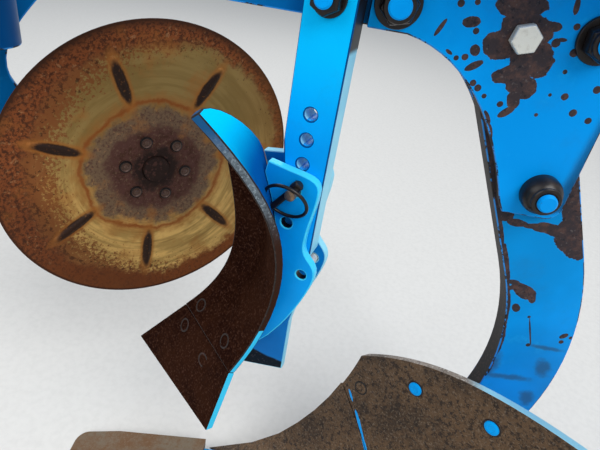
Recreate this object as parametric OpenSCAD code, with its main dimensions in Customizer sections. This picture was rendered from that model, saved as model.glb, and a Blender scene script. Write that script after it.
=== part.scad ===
// Furrow unit of a reversible mouldboard plough: one left-turning plough body on
// its curved leg, with the skimmer and the disc coulter that work ahead of it.
// Millimetres. +X is the direction of travel, +Y the furrow side that the soil is
// turned to, +Z up. The origin is the middle of the top mounting face.
// Sizes that are called heights are measured up from the share point.

/* [Unit] */
// Height of the mounting face above the share point
mount_height = 820; // [780:5:880]
// Thickness of the flange under the plough beam
flange_t = 20; // [12:1:30]
// Length of the flange along the direction of travel
flange_l = 250; // [230:5:320]
// Width of the flange across the direction of travel
flange_w = 200; // [170:5:260]
// Distance between the flange holes along the direction of travel
flange_hole_x = 190; // [150:5:200]
// Distance between the flange holes across the direction of travel
flange_hole_y = 140; // [110:5:150]
// Diameter of the flange holes
flange_hole_d = 22; // [16:1:26]

/* [Leg and bracket] */
// Thickness of the leg and of the carrier bar
leg_t = 30; // [20:1:40]
// Width of the leg in side view
leg_w = 80; // [60:1:90]
// Radius of the bend on the leg's centre line
leg_bend_r = 350; // [320:5:400]
// Thickness of each bracket plate
plate_t = 12; // [8:1:20]
// Diameter of the leg's pivot bolt
pivot_d = 24; // [18:1:30]
// Diameter of the leg's shear bolt
shear_d = 14; // [10:1:18]
// Diameter of the other bracket bolts
bracket_bolt_d = 20; // [14:1:24]

/* [Carrier bar] */
// Height of the carrier bar's section
bar_h = 80; // [60:1:84]
// How far forward the carrier bar reaches from the origin
bar_front = 575; // [560:5:640]

/* [Skimmer] */
// Turn of the skimmer's stalk about the vertical, towards the land
skimmer_yaw = 17; // [0:1:20]
// Distance of the skimmer's stalk ahead of the origin
stalk_x = 143; // [138:1:150]
// Width of the stalk
stalk_w = 45; // [40:1:50]
// Thickness of the stalk
stalk_t = 25; // [20:1:26]
// Diameter of the holes in the stalk
stalk_hole_d = 12; // [8:1:13]
// Distance between two holes in the stalk
stalk_pitch = 24; // [22:1:26]
// Thickness of each skimmer frog plate
cheek_t = 10; // [6:1:12]
// Thickness of the skimmer's mouldboard
skimmer_sheet_t = 8; // [5:1:10]
// Thickness of the skimmer's share
skimmer_share_t = 9; // [6:1:11]

/* [Disc coulter] */
// Diameter of the disc
disc_d = 430; // [380:5:450]
// Thickness of the disc
disc_t = 5; // [3:0.5:7]
// Depth of the disc's dish
disc_dish = 12; // [4:1:18]
// Swing of the disc coulter from straight ahead, at rest
coulter_swing = 38; // [0:1:40]
// Diameter of the upright stem
stem_d = 45; // [35:1:50]
// Distance of the stem ahead of the origin
stem_x = 515; // [505:1:525]
// Distance of the stem towards the land
stem_y = 78; // [70:1:90]
// Distance from the stem back to the disc's axle
trail = 186; // [175:1:210]
// Height of the disc's axle
axle_h = 426; // [400:1:440]
// Diameter of the disc's axle
axle_d = 25; // [18:1:30]

/* [Plough body] */
// Thickness of the mouldboard and the shin
mouldboard_t = 8; // [6:1:12]
// Thickness of the share
share_t = 12; // [8:1:14]
// Angle of the share's cutting edge to the direction of travel
share_angle = 36.5; // [34:0.5:40]
// Slope of the share
share_slope = 22; // [18:1:25]
// Width of the reversible point
point_w = 60; // [50:1:70]
// Thickness of the reversible point
point_t = 20; // [14:1:24]
// Thickness of the landside
landside_t = 12; // [8:1:16]
// Height of the landside
landside_h = 115; // [90:1:130]
// Thickness of the plates of the frog
frog_t = 12; // [8:1:15]

/* [Hidden] */
$fn = 48;
blue = [0.02, 0.47, 0.82];
dark_blue = [0.03, 0.25, 0.45];
worn = [0.24, 0.20, 0.17];
rust = [0.42, 0.27, 0.17];
zinc = [0.75, 0.74, 0.68];
black = [0.10, 0.09, 0.08];

gap = 0.3;           // clearance between pieces that only meet
bolt_gap = 0.5;      // radial clearance of a bolt in its hole
land_y = -leg_t / 2 - landside_t;   // outer face of the landside

// Bracket and leg, side view, [x, height]
shear_at = [-13, mount_height - 100];
pivot_at = [-79, mount_height - 231];
nose_bolt_at = [93, mount_height - 91];
rear_bolt_at = [-72, mount_height - 92];
bracket_rear_x = -107;
bracket_low = mount_height - 258;
web_low = mount_height - 130;
bracket_front_x = 114;
plate_top = mount_height - flange_t;
bar_low = mount_height - 113;
bar_rear = 68;
leg_slope = atan2(shear_at[0] - pivot_at[0], shear_at[1] - pivot_at[1]);
leg_top_over = 42;   // leg above the shear bolt
bend_start_h = 502.373; // height at which the leg's straight part ends
leg_end = [-35.049, 76.779];   // middle of the leg's lower end, where the body is set out
bend_above = (pivot_at[1] - bend_start_h) / cos(leg_slope);

// Centre of the leg's bend: the straight through both bolts is tangent to it
bend_c = [
    pivot_at[0] + leg_bend_r * cos(leg_slope) - bend_above * sin(leg_slope),
    pivot_at[1] - leg_bend_r * sin(leg_slope) - bend_above * cos(leg_slope)
];
leg_end_angle = asin((leg_end[1] - bend_c[1]) / leg_bend_r);
// The body keeps its place on the leg's lower end
body_x = bend_c[0] - leg_bend_r * cos(leg_end_angle) - leg_end[0];

stem_pos = [stem_x, -stem_y];
stalk_y = leg_t / 2 + 20;

// Ploughing surface: shin profile in the landside plane, two arcs and a straight toe
shin_r = 394;        // radius of the shin's profile
shin_top_h = 337;    // height at which the shin stands upright
shin_x = 27.6;       // its x there
shin_foot_h = 89;    // height at which the tighter lower arc begins
shin_foot_r = 160;   // radius of that arc
shin_toe_slope = 26; // slope of the straight toe
share_h = 62;        // height of the joint between share and mouldboard
curl = 10;           // extra turn of the surface over curl_l
curl_l = 600;
board_twist = 0.01;  // extra turn for each millimetre above the share

function clamp01(t) = min(1, max(0, t));
function mix(a, b, t) = a + (b - a) * t;
function unit(v) = v / norm(v);
function bezier(p, t) = len(p) == 1 ? p[0] :
    bezier([for (i = [0 : len(p) - 2]) mix(p[i], p[i + 1], t)], t);
module up_to_mount() {
    translate([0, 0, -mount_height]) children();
}
module on_body() {
    up_to_mount() translate([body_x, 0, 0]) children();
}

// Upright plate from a side view outline [x, height], between y0 and y1
module side_plate(y0, y1) {
    translate([0, y1, 0]) rotate([90, 0, 0]) linear_extrude(y1 - y0) children();
}

// Round bar across the direction of travel
module cross_bar(at, d, y0, y1) {
    side_plate(y0, y1) translate(at) circle(d = d);
}

// Solid between two grids of points: rows run along, columns up
module shell(front, back) {
    m = len(front) - 1;
    n = len(front[0]) - 1;
    w = n + 1;
    size = (m + 1) * w;
    pts = [each [for (r = front) each r], each [for (r = back) each r]];
    faces = [
        for (i = [0 : m - 1]) for (j = [0 : n - 1])
            each [[i * w + j, (i + 1) * w + j + 1, (i + 1) * w + j],
                  [i * w + j, i * w + j + 1, (i + 1) * w + j + 1]],
        for (i = [0 : m - 1]) for (j = [0 : n - 1])
            each [[size + i * w + j, size + (i + 1) * w + j, size + (i + 1) * w + j + 1],
                  [size + i * w + j, size + (i + 1) * w + j + 1, size + i * w + j + 1]],
        for (i = [0 : m - 1]) each rim((i + 1) * w, i * w, size),
        for (i = [0 : m - 1]) each rim(i * w + n, (i + 1) * w + n, size),
        for (j = [0 : n - 1]) each rim(j, j + 1, size),
        for (j = [0 : n - 1]) each rim(m * w + j + 1, m * w + j, size)
    ];
    polyhedron(pts, faces);
}
function rim(a, b, size) = [[a, size + a, size + b], [a, size + b, b]];
// A grid moved back by t, square to its surface
function behind(front, t) =
    let (m = len(front) - 1, n = len(front[0]) - 1)
    [for (i = [0 : m]) [for (j = [0 : n])
        front[i][j] - t * unit(cross(
            front[min(m, i + 1)][j] - front[max(0, i - 1)][j],
            front[i][min(n, j + 1)] - front[i][max(0, j - 1)]))]];

// Bracket

module head_flange() {
    color(blue) up_to_mount() difference() {
        translate([-flange_l / 2, -flange_w / 2, plate_top])
            cube([flange_l, flange_w, flange_t]);
        for (x = [-1, 1], y = [-1, 1])
            translate([x * flange_hole_x / 2, y * flange_hole_y / 2, plate_top - 1])
                cylinder(d = flange_hole_d, h = flange_t + 2);
    }
}

module bracket_outline() {
    arch = [for (i = [0 : 14]) bezier([[80, bar_low], [2, bar_low - 13],
        [-46, bracket_low + 10]], i / 14)];
    corner_r = 14;
    corner = [bracket_rear_x + corner_r, bracket_low + corner_r];
    difference() {
        union() {
            polygon(concat(
                [[bracket_front_x, plate_top], [bracket_front_x, bar_low]],
                arch,
                [[-52, bracket_low], [corner[0], bracket_low], corner,
                 [bracket_rear_x, corner[1]], [bracket_rear_x, plate_top]]));
            translate(corner) circle(r = corner_r);
        }
        translate(shear_at) circle(d = shear_d + 2 * bolt_gap);
        translate(pivot_at) circle(d = pivot_d + 2 * bolt_gap);
        translate(nose_bolt_at) circle(d = bracket_bolt_d + 2 * bolt_gap);
        translate(rear_bolt_at) circle(d = bracket_bolt_d + 2 * bolt_gap);
    }
}

module bracket_plate_near() {
    color(blue) up_to_mount()
        side_plate(leg_t / 2 + gap, leg_t / 2 + gap + plate_t) bracket_outline();
}

module bracket_plate_far() {
    color(blue) up_to_mount()
        side_plate(-leg_t / 2 - gap - plate_t, -leg_t / 2 - gap) bracket_outline();
}

module bracket_web() {
    color(blue) up_to_mount() side_plate(-leg_t / 2 - gap, leg_t / 2 + gap) difference() {
        polygon([[bracket_rear_x, web_low], [-77, web_low], [-48, web_low + 58],
                 [-48, plate_top], [bracket_rear_x, plate_top]]);
        translate(rear_bolt_at) circle(d = bracket_bolt_d + 2 * bolt_gap);
    }
}

module bracket_bolts() {
    out = leg_t / 2 + gap + plate_t;
    washer_t = 4;
    color(black) up_to_mount() for (at = [nose_bolt_at, rear_bolt_at]) {
        cross_bar(at, bracket_bolt_d, -out - 22, out + 22);
        for (y = [-out - washer_t, out])
            cross_bar(at, bracket_bolt_d * 1.95, y, y + washer_t);
        for (y = [-out - washer_t - 13, out + washer_t])
            cross_bar(at, bracket_bolt_d * 1.6, y, y + 13);
    }
}

module shear_bolt() {
    out = leg_t / 2 + gap + plate_t;
    color(zinc) up_to_mount() {
        cross_bar(shear_at, shear_d, -out - 16, out);
        for (y = [-out - 9, out])
            side_plate(y, y + 9) translate(shear_at) circle(d = 25.4, $fn = 6);
    }
}

module pivot_bolt() {
    out = leg_t / 2 + gap + plate_t;
    nut_d = 38;
    nut_h = 20;
    color(black) up_to_mount() {
        cross_bar(pivot_at, pivot_d, -out - 26, out + 26);
        for (side = [-1, 1]) translate([pivot_at[0], side * out, pivot_at[1]])
            rotate([-90 * side, 0, 0]) rotate_extrude() polygon([
                [0, 0], [nut_d / 2, 0], [nut_d / 2, 8], [nut_d / 2 - 3, 14],
                [nut_d / 2 - 9, nut_h], [0, nut_h]]);
    }
}

// Leg

function bend_point(r, a) = bend_c + r * [-cos(a), sin(a)];
module leg_outline() {
    n = 24;
    straight = norm(shear_at - pivot_at) + leg_top_over + bend_above;
    up = straight * [sin(leg_slope), cos(leg_slope)];
    rear = [for (i = [0 : n])
        bend_point(leg_bend_r + leg_w / 2, mix(leg_end_angle, leg_slope, i / n))];
    front = [for (i = [0 : n])
        bend_point(leg_bend_r - leg_w / 2, mix(leg_slope, leg_end_angle, i / n))];
    polygon(concat(rear, [rear[n] + up, front[0] + up], front));
}

module leg() {
    color(blue) up_to_mount() side_plate(-leg_t / 2, leg_t / 2) difference() {
        leg_outline();
        translate(shear_at) circle(d = shear_d + 2 * bolt_gap);
        translate(pivot_at) circle(d = pivot_d + 2 * bolt_gap);
    }
}

// Carrier bar

module carrier_bar() {
    color(blue) up_to_mount() side_plate(-leg_t / 2, leg_t / 2) difference() {
        translate([bar_rear, bar_low]) square([bar_front - bar_rear, bar_h]);
        translate(nose_bolt_at) circle(d = bracket_bolt_d + 2 * bolt_gap);
    }
}

// Skimmer

// Frame of the skimmer's stalk: x ahead, y to the furrow side, z height
module on_stalk() {
    up_to_mount() translate([stalk_x, stalk_y, 0]) rotate([0, 0, -skimmer_yaw]) children();
}

stalk_top = mount_height - 38;
stalk_low = 486;
stalk_taper = 17;    // front of the stalk's foot cut back to clear the mouldboard
stalk_taper_h = 600;
stalk_bolt_h = [stalk_top - 55, stalk_top - 15];
stalk_holes_h = [for (i = [0 : 4]) 632 - i * stalk_pitch];
pin_h = stalk_holes_h[3];
pin_x = 1;

module skimmer_wedge() {
    wedge_low = stalk_top - 94;
    near = wedge_corner(stalk_w / 2);
    far = wedge_corner(-stalk_w / 2);
    color(dark_blue) up_to_mount() translate([0, 0, wedge_low])
        linear_extrude(stalk_top - wedge_low)
            polygon([far, near, [near[0], leg_t / 2 + gap], [far[0], leg_t / 2 + gap]]);
}
// Corner of the stalk's back face, in plan
function wedge_corner(x) = [
    stalk_x + x * cos(skimmer_yaw) - (stalk_t / 2 + gap) * sin(skimmer_yaw),
    stalk_y - x * sin(skimmer_yaw) - (stalk_t / 2 + gap) * cos(skimmer_yaw)];

module skimmer_stalk() {
    color(blue) on_stalk() difference() {
        side_plate(-stalk_t / 2, stalk_t / 2) polygon([
            [-stalk_w / 2, stalk_low], [stalk_w / 2 - stalk_taper, stalk_low],
            [stalk_w / 2, stalk_taper_h], [stalk_w / 2, stalk_top],
            [-stalk_w / 2, stalk_top]]);
        for (h = concat(stalk_bolt_h, stalk_holes_h))
            translate([1, stalk_t, h]) rotate([90, 0, 0])
                cylinder(d = stalk_hole_d, h = 2 * stalk_t);
    }
}

module skimmer_bolts() {
    color(black) on_stalk() for (h = stalk_bolt_h)
        translate([1, stalk_t / 2, h]) rotate([-90, 0, 0]) {
            cylinder(d = 30, h = 3);
            translate([0, 0, 3]) cylinder(d = 24 / cos(30), h = 11, $fn = 6);
            translate([0, 0, -stalk_t]) cylinder(d = stalk_hole_d - 1, h = stalk_t + 18);
        }
}

// Side view of a skimmer frog plate in the stalk's frame, [x, height]. Its front
// edge follows the back of the share, then of the mouldboard, at the distance y
module cheek_outline(y, rear_low, share_reach) {
    rows = [share_back_row(share_reach), share_back_row(0),
        for (j = [1 : skimmer_nv]) board_back_row(j)];
    front = [for (r = rows) cheek_front(r, y)];
    rear = [for (curve = cheek_rear) for (i = [0 : 7]) bezier(curve, i / 8)];
    difference() {
        polygon(concat(rear, rear_low, [for (p = front) if (p[1] < cheek_front_h) p]));
        translate([pin_x, pin_h]) circle(d = stalk_hole_d);
        translate([4, 524]) circle(d = stalk_hole_d);
        translate(adjust_at) circle(d = adjust_d);
    }
}
cheek_front_h = 582;
// Rear edge of both plates, from the rounded top over the waist and the screw's lobe
cheek_rear = [
    [[20, 581], [-8, 577], [-24.5, 581], [-22.6, 561]],
    [[-22.6, 561], [-22.6, 545], [-16.5, 525], [-17.3, 503]],
    [[-17.3, 503], [-18.2, 489], [-33, 488], [-33.8, 473]],
    [[-33.8, 473], [-34.5, 458], [-20, 420], [-7.4, 394]]
];
adjust_at = [-20, 470];
adjust_d = 11;
function to_stalk(p) =
    let (dx = p[0] - stalk_x, dy = p[1] - stalk_y, c = cos(skimmer_yaw), k = sin(skimmer_yaw))
    [dx * c - dy * k, dx * k + dy * c, p[2]];
function board_back_row(j) = [for (i = [0 : skimmer_nu]) to_stalk(skimmer_back[i][j])];
function share_back_row(t) = [for (i = [0 : skimmer_nu])
    to_stalk(mix(skimmer_share_back[i][1], skimmer_share_back[i][0], t))];
// Where a row of the back, from its far to its near end, passes the distance y
function cheek_front(row, y) =
    let (hit = [for (i = [0 : skimmer_nu - 1]) if (row[i][1] <= y && row[i + 1][1] > y)
        mix(row[i], row[i + 1], (y - row[i][1]) / (row[i + 1][1] - row[i][1]))])
    [hit[0][0] - 2 * gap, hit[0][2]];

module cheek(side, rear_low, share_reach) {
    y0 = side > 0 ? stalk_t / 2 + gap : -stalk_t / 2 - gap - cheek_t;
    on_stalk() side_plate(y0, y0 + cheek_t)
        cheek_outline(y0 + cheek_t, rear_low, share_reach);
}

module skimmer_cheek_near() {
    color(blue) cheek(1, [[-7.4, 394], [5, 372], [24, 346], [35, 322], [42, 302]], 0.3);
}

module skimmer_cheek_far() {
    color(blue) cheek(-1, [[-7, 370], [-8, 289], [42, 274]], 0.75);
}

module skimmer_pin() {
    reach = stalk_t / 2 + cheek_t + 12;
    color(zinc) on_stalk() translate([pin_x, 0, pin_h]) rotate([-90, 0, 0]) {
        translate([0, 0, -reach]) cylinder(d = stalk_hole_d - 1, h = 2 * reach);
        translate([0, 0, reach - 11]) cylinder(d = 15, h = 11);
    }
}

module pin_ring() {
    ring_r = 17;
    wire_d = 3.5;
    color(black) on_stalk()
        translate([pin_x, stalk_t / 2 + 2 * gap + cheek_t + wire_d / 2, pin_h - 5])
            rotate([90, 0, 0]) rotate_extrude() translate([ring_r, 0]) circle(d = wire_d);
}

module adjust_screw() {
    y = -stalk_t / 2 - gap - cheek_t;
    color(black) on_stalk() translate([adjust_at[0], 0, adjust_at[1]]) rotate([-90, 0, 0]) {
        translate([0, 0, y - 8]) cylinder(d = 16 / cos(30), h = 8, $fn = 6);
        translate([0, 0, y]) cylinder(d = adjust_d - 1, h = cheek_t + 10);
    }
}

// Edges of the skimmer's mouldboard, [x, y, height]
skimmer_near_edge = [[190, 86, 335], [168, 80, 380], [146, 76, 430], [142, 84, 505],
    [158, 92, 545], [190, 108, 590], [233, 124, 641]];
skimmer_far_edge = [[270, -22, 326], [200, -22, 406], [209, -22, 459], [231, -22, 544]];
skimmer_toe_far = [335, -30, 244];
skimmer_toe_near = [208, 99, 244];
skimmer_top_edge = [[231, -22, 544], [164, -8, 540], [202, 40, 623], [239, 88, 643],
    [233, 124, 641]];
function skimmer_low_edge(u) = mix(skimmer_far_edge[0], skimmer_near_edge[0], u);

// Patch between the four edges
function skimmer_point(u, v) =
    let (near = bezier(skimmer_near_edge, v), far = bezier(skimmer_far_edge, v),
         low = skimmer_low_edge(u), top = bezier(skimmer_top_edge, u),
         f0 = skimmer_far_edge[0], f1 = skimmer_top_edge[0],
         n0 = skimmer_near_edge[0], n1 = skimmer_near_edge[6])
    mix(far, near, u) + mix(low, top, v)
        - mix(mix(f0, n0, u), mix(f1, n1, u), v);

skimmer_nu = 12;
skimmer_nv = 18;
skimmer_front = [for (i = [0 : skimmer_nu]) [for (j = [0 : skimmer_nv])
    skimmer_point(i / skimmer_nu, j / skimmer_nv)]];
skimmer_back = behind(skimmer_front, skimmer_sheet_t);

module skimmer_mouldboard() {
    color(worn) up_to_mount() shell(skimmer_front, skimmer_back);
}

// Its share carries the surface on from the board's lower edge
skimmer_share_front = [for (i = [0 : skimmer_nu])
    [mix(skimmer_toe_far, skimmer_toe_near, i / skimmer_nu),
     skimmer_front[i][0] - [0, 0, gap]]];
skimmer_share_back = let (toe = behind(skimmer_share_front, skimmer_share_t))
    [for (i = [0 : skimmer_nu]) [toe[i][0], skimmer_back[i][0] - [0, 0, gap]]];
module skimmer_share() {
    color(worn) up_to_mount() shell(skimmer_share_front, skimmer_share_back);
}

// Disc coulter

module on_disc() {
    up_to_mount() translate([stem_pos[0], stem_pos[1], 0]) rotate([0, 0, coulter_swing])
        children();
}
disc_offset = -4;    // disc plane from the stem's axis, towards the land
axle_pos = [-trail, -disc_offset, axle_h];
arm_t = 18;
hub_l = 42;
hub_d = 70;
rivet_pcd = 0.212 * disc_d;
boss_r = 0.16 * disc_d;

// Profile of the disc about its axle, [radius, distance towards the furrow side]
module disc_profile() {
    r = disc_d / 2;
    n = 8;
    front = [for (i = [0 : n]) let (q = mix(boss_r, r, i / n))
        [q, disc_dish * pow((q - boss_r) / (r - boss_r), 2)]];
    polygon(concat([[axle_d / 2 + 8, 0]], front,
        [for (i = [n : -1 : 0]) front[i] - [0, i == n ? 2 : disc_t]],
        [[axle_d / 2 + 8, -disc_t]]));
}

module about_axle() {
    on_disc() translate(axle_pos) rotate([-90, 0, 0]) children();
}

module disc_blade() {
    ribs = 7;
    color(rust) about_axle() difference() {
        union() {
            rotate_extrude($fn = 96) disc_profile();
            for (i = [0 : ribs - 1]) rotate([0, 0, i * 360 / ribs - 19.5]) disc_rib();
        }
        for (i = [0 : 5]) rotate([0, 0, i * 60 - 12]) translate([rivet_pcd / 2, 0, -20])
            cylinder(d = 11, h = 40);
    }
}

// Embossed ridge on the disc's face, along a radius
module disc_rib() {
    x0 = 0.27 * disc_d;
    x1 = 0.40 * disc_d;
    mid = (x0 + x1) / 2 - boss_r;
    across = disc_d / 2 - boss_r;
    translate([(x0 + x1) / 2, 0, disc_dish * pow(mid / across, 2)])
        rotate([0, -atan(2 * disc_dish * mid / pow(across, 2)), 0]) {
            rotate([90, 0, 90]) translate([0, 0, (x0 - x1) / 2]) linear_extrude(x1 - x0)
                intersection() {
                    ridge_end();
                    translate([-rib_r, -rib_sunk]) square([2 * rib_r, rib_r]);
                }
            for (x = [(x0 - x1) / 2, (x1 - x0) / 2]) translate([x, 0, 0])
                rotate_extrude() intersection() {
                    ridge_end();
                    translate([0, -rib_sunk]) square(rib_r);
                }
        }
}
rib_r = 7;
rib_lift = 3;        // top of the ridge above the disc's face
rib_sunk = 2;
module ridge_end() {
    translate([0, rib_lift - rib_r]) circle(r = rib_r);
}

module disc_hub() {
    color(dark_blue) about_axle() difference() {
        union() {
            translate([0, 0, -disc_t - gap - 8]) cylinder(d = rivet_pcd + 24, h = 8);
            translate([0, 0, -disc_t - gap - hub_l]) cylinder(d = hub_d, h = hub_l);
            translate([0, 0, -disc_t - gap]) cylinder(d = axle_d + 14, h = disc_t + gap + 5);
        }
        translate([0, 0, -disc_t - gap - hub_l - 1])
            cylinder(d = axle_d + 0.6, h = hub_l + disc_t);
        for (i = [0 : 5]) rotate([0, 0, i * 60 - 12]) translate([rivet_pcd / 2, 0, -20])
            cylinder(d = 11, h = 40);
    }
}

module disc_rivets() {
    color(rust) about_axle() for (i = [0 : 5]) rotate([0, 0, i * 60 - 12])
        translate([rivet_pcd / 2, 0, 0]) {
            translate([0, 0, -disc_t - gap - 8]) cylinder(d = 10, h = disc_t + gap + 8);
            cylinder(d = 17, h = 5);
            translate([0, 0, -disc_t - gap - 14]) cylinder(d = 17, h = 6);
        }
}

// The arm lies on the land side of the disc
arm_y = -disc_t - gap - hub_l - 4;
module disc_axle() {
    color(zinc) about_axle() {
        translate([0, 0, arm_y - arm_t - 12]) cylinder(d = axle_d, h = 12 + arm_t + hub_l + 2);
        translate([0, 0, arm_y]) cylinder(d = axle_d + 12, h = 3.6);
        translate([0, 0, arm_y - arm_t - 14]) cylinder(d = 38, h = 13.7, $fn = 6);
    }
}

head_low = bar_low - 101;
head_top = head_low + 56;
head_d = stem_d + 19;
stem_top = mount_height - 8;
arm_eye_d = 64;
// Swan neck: it drops below the swivel head, then runs back to the axle
module disc_arm() {
    y1 = axle_pos[1] + arm_y;
    top = head_top - 4;
    eye = [axle_pos[0], axle_h];
    rear = [for (i = [0 : 18]) bezier([[-74, top], [-30, top - 48], [72, axle_h + 94],
        eye + [-8, arm_eye_d / 2 - 1]], i / 18)];
    front = [for (i = [0 : 18]) bezier([eye + [11, 2 - arm_eye_d / 2], [68, axle_h + 54],
        [34, top - 68], [30, top]], i / 18)];
    color(blue) on_disc() side_plate(y1 - arm_t, y1 - gap) difference() {
        union() {
            polygon(concat(rear, front));
            translate(eye) circle(d = arm_eye_d);
        }
        translate(eye) circle(d = axle_d + 0.2);
    }
}

module swivel_head() {
    y1 = axle_pos[1] + arm_y;
    color(blue) on_disc() difference() {
        union() {
            translate([0, 0, head_low]) cylinder(d = head_d, h = head_top - head_low);
            translate([-30, y1, head_low + 4]) cube([60, -y1, 48]);
        }
        translate([0, 0, head_low + 8]) cylinder(d = stem_d + 0.8, h = head_top);
    }
}

module coulter_stem() {
    color(zinc) up_to_mount() translate([stem_pos[0], stem_pos[1], head_low + 8.4])
        cylinder(d = stem_d, h = stem_top - head_low - 8.4);
}

module stem_collar() {
    color(blue) up_to_mount() translate([stem_pos[0], stem_pos[1], head_top + 0.5])
        difference() {
            cylinder(d = stem_d + 26, h = 24);
            translate([0, 0, -1]) cylinder(d = stem_d + 0.4, h = 26);
        }
}

// Clamp of the stem: a barrel, webs and a back plate against the carrier bar
clamp_w = 84;
clamp_plate_t = 14;
clamp_over = 30;     // back plate and strap above and below the bar
module stem_clamp() {
    barrel_d = stem_d + 34;
    back_y = -leg_t / 2 - gap;
    color(blue) up_to_mount() difference() {
        union() {
            translate([stem_x - clamp_w / 2, back_y - clamp_plate_t, bar_low - clamp_over])
                cube([clamp_w, clamp_plate_t, bar_h + 2 * clamp_over]);
            translate([stem_x, -stem_y, bar_low - 4]) cylinder(d = barrel_d, h = bar_h + 8);
            for (h = [bar_low - 4, bar_low + bar_h - 8])
                translate([stem_x - barrel_d / 2, -stem_y, h])
                    cube([barrel_d, stem_y + back_y - 1, 12]);
        }
        translate([stem_x, -stem_y, bar_low - 10]) cylinder(d = stem_d + 0.4, h = bar_h + 20);
        clamp_holes();
    }
}
clamp_bolt_d = 14;
clamp_bolt_h = [bar_low - 17, bar_low + bar_h + 17];
module clamp_holes() {
    for (x = [-28, 28], h = clamp_bolt_h)
        translate([stem_x + x, 60, h]) rotate([90, 0, 0])
            cylinder(d = clamp_bolt_d + 1, h = 120);
}

module clamp_strap() {
    color(blue) up_to_mount() difference() {
        translate([stem_x - clamp_w / 2, leg_t / 2 + gap, bar_low - clamp_over])
            cube([clamp_w, clamp_plate_t, bar_h + 2 * clamp_over]);
        clamp_holes();
    }
}

module clamp_bolts() {
    out = leg_t / 2 + gap + clamp_plate_t;
    color(black) up_to_mount()
        for (x = [-28, 28], h = clamp_bolt_h)
            translate([stem_x + x, 0, h]) rotate([-90, 0, 0]) {
                translate([0, 0, -out - 14]) cylinder(d = clamp_bolt_d, h = 2 * out + 14);
                for (y = [-out - 11, out])
                    translate([0, 0, y]) cylinder(d = 22 / cos(30), h = 11, $fn = 6);
            }
}

// Plough body

// Centres of the two arcs of the shin's profile
shin_c = [shin_x + shin_r, shin_top_h];
shin_foot = [shin_c[0] - sqrt(pow(shin_r, 2) - pow(shin_top_h - shin_foot_h, 2)), shin_foot_h];
shin_foot_c = shin_foot + (shin_c - shin_foot) * shin_foot_r / shin_r;
shin_toe = shin_foot_c - shin_foot_r * [sin(shin_toe_slope), cos(shin_toe_slope)];

// Shin's x in the landside plane at a height
function shin(h) =
    h > shin_foot_h ? shin_c[0] - sqrt(pow(shin_r, 2) - pow(shin_c[1] - h, 2)) :
    h > shin_toe[1] ? shin_foot_c[0] - sqrt(pow(shin_foot_r, 2) - pow(shin_foot_c[1] - h, 2)) :
    shin_toe[0] + (shin_toe[1] - h) / tan(shin_toe_slope);
// Point of the ploughing surface: s along the horizontal, at height h
function soil_point(s, h) =
    let (c = curl / curl_l * clamp01((h - share_h) / 120) + 0.0001,
         a = share_angle + board_twist * (h - share_h), rad = 180 / PI)
    [shin(h) - (sin(a + c * s) - sin(a)) / c * rad,
     land_y + (cos(a) - cos(a + c * s)) / c * rad,
     h];

// Outlines on the ploughing surface, [s, height]
joint_top = [2, 226];
joint_low = [237, share_h];
tail_low = [745, 190];
board_top_curve = [[4, 286], [80, 352], [190, 410], [420, 405], [690, 330]];

// u runs along the board; the lower outline is joint, share edge and wing
function board_low_at(u) =
    u < 0.3 ? mix(joint_top, joint_low, u / 0.3) :
    u < 0.7 ? mix(joint_low, [545, share_h], (u - 0.3) / 0.4) :
    bezier([[545, share_h], [640, share_h + 20], tail_low], (u - 0.7) / 0.3);
function board_top_at(u) = bezier(board_top_curve, u);

// Front and back of the ploughing surface over a grid of [s, height]. The back is
// moved along where it would pass the landside's outer face
function soil_grid(g) = [for (r = g) [for (p = r) soil_point(p[0], p[1])]];
function soil_back_grid(g) = [for (r = g) [for (p = r)
    soil_back(p[0] < 20 ? max(p[0], s_at(land_y, p[1], 0, 20, 14)) : p[0], p[1])]];
// Point of the back, a board's thickness behind s and height h
function soil_back(s, h) =
    soil_point(s, h) - mouldboard_t * unit(cross(
        soil_point(s + 2, h) - soil_point(s - 2, h),
        soil_point(s, h + 2) - soil_point(s, h - 2)));
// s at which the back passes y at height h, by halving
function s_at(y, h, lo, hi, n) =
    n == 0 ? (lo + hi) / 2 :
    let (m = (lo + hi) / 2)
    soil_back(m, h)[1] < y ? s_at(y, h, m, hi, n - 1) : s_at(y, h, lo, m, n - 1);
// Side view of the back where it passes y, [x, height]
function back_at(y, h) =
    let (p = soil_back(s_at(y, h, 3, 300, 14), h)) [p[0] - 2.5 * gap, p[2]];

module mouldboard() {
    nu = 40;
    nv = 10;
    g = [for (i = [0 : nu]) [for (j = [0 : nv])
        mix(board_low_at(i / nu), board_top_at(i / nu), j / nv)]];
    color(worn) on_body() shell(soil_grid(g), soil_back_grid(g));
}

// Replaceable shin: its lower outline follows the point, then the share
module shin_piece() {
    nu = 12;
    nv = 6;
    knee = [96, share_h + 1];
    g = [for (i = [0 : nu]) [for (j = [0 : nv])
        let (u = i / nu,
             low = u < 0.4 ? mix([0, 18.5], knee, u / 0.4)
                 : mix(knee, [joint_low[0] - 6, share_h + 1], (u - 0.4) / 0.6),
             top = mix([0, joint_top[1]], joint_low - [3, -1.5], u))
        mix(low, top, j / nv)]];
    color(worn) on_body() shell(soil_grid(g), soil_back_grid(g));
}

// Share: a flat blade below the joint line, its edge ground flat underneath
share_wing = 545;
share_run = share_h / tan(share_slope);
share_down = [share_run * sin(share_angle), share_run * cos(share_angle), -share_h];
share_normal = [sin(share_slope) * sin(share_angle), sin(share_slope) * cos(share_angle),
    cos(share_slope)];
// Point s along, a share d of the way down to the edge, at a depth below the face
function share_pt(s, d, depth) = soil_point(s, share_h) + d * share_down - depth * share_normal;
// The same where it lies beside the point
function share_land_pt(d, depth) =
    let (y = land_y + point_w + gap)
    share_pt((y - land_y - d * share_down[1] + depth * share_normal[1]) / sin(share_angle),
        d, depth);
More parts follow.
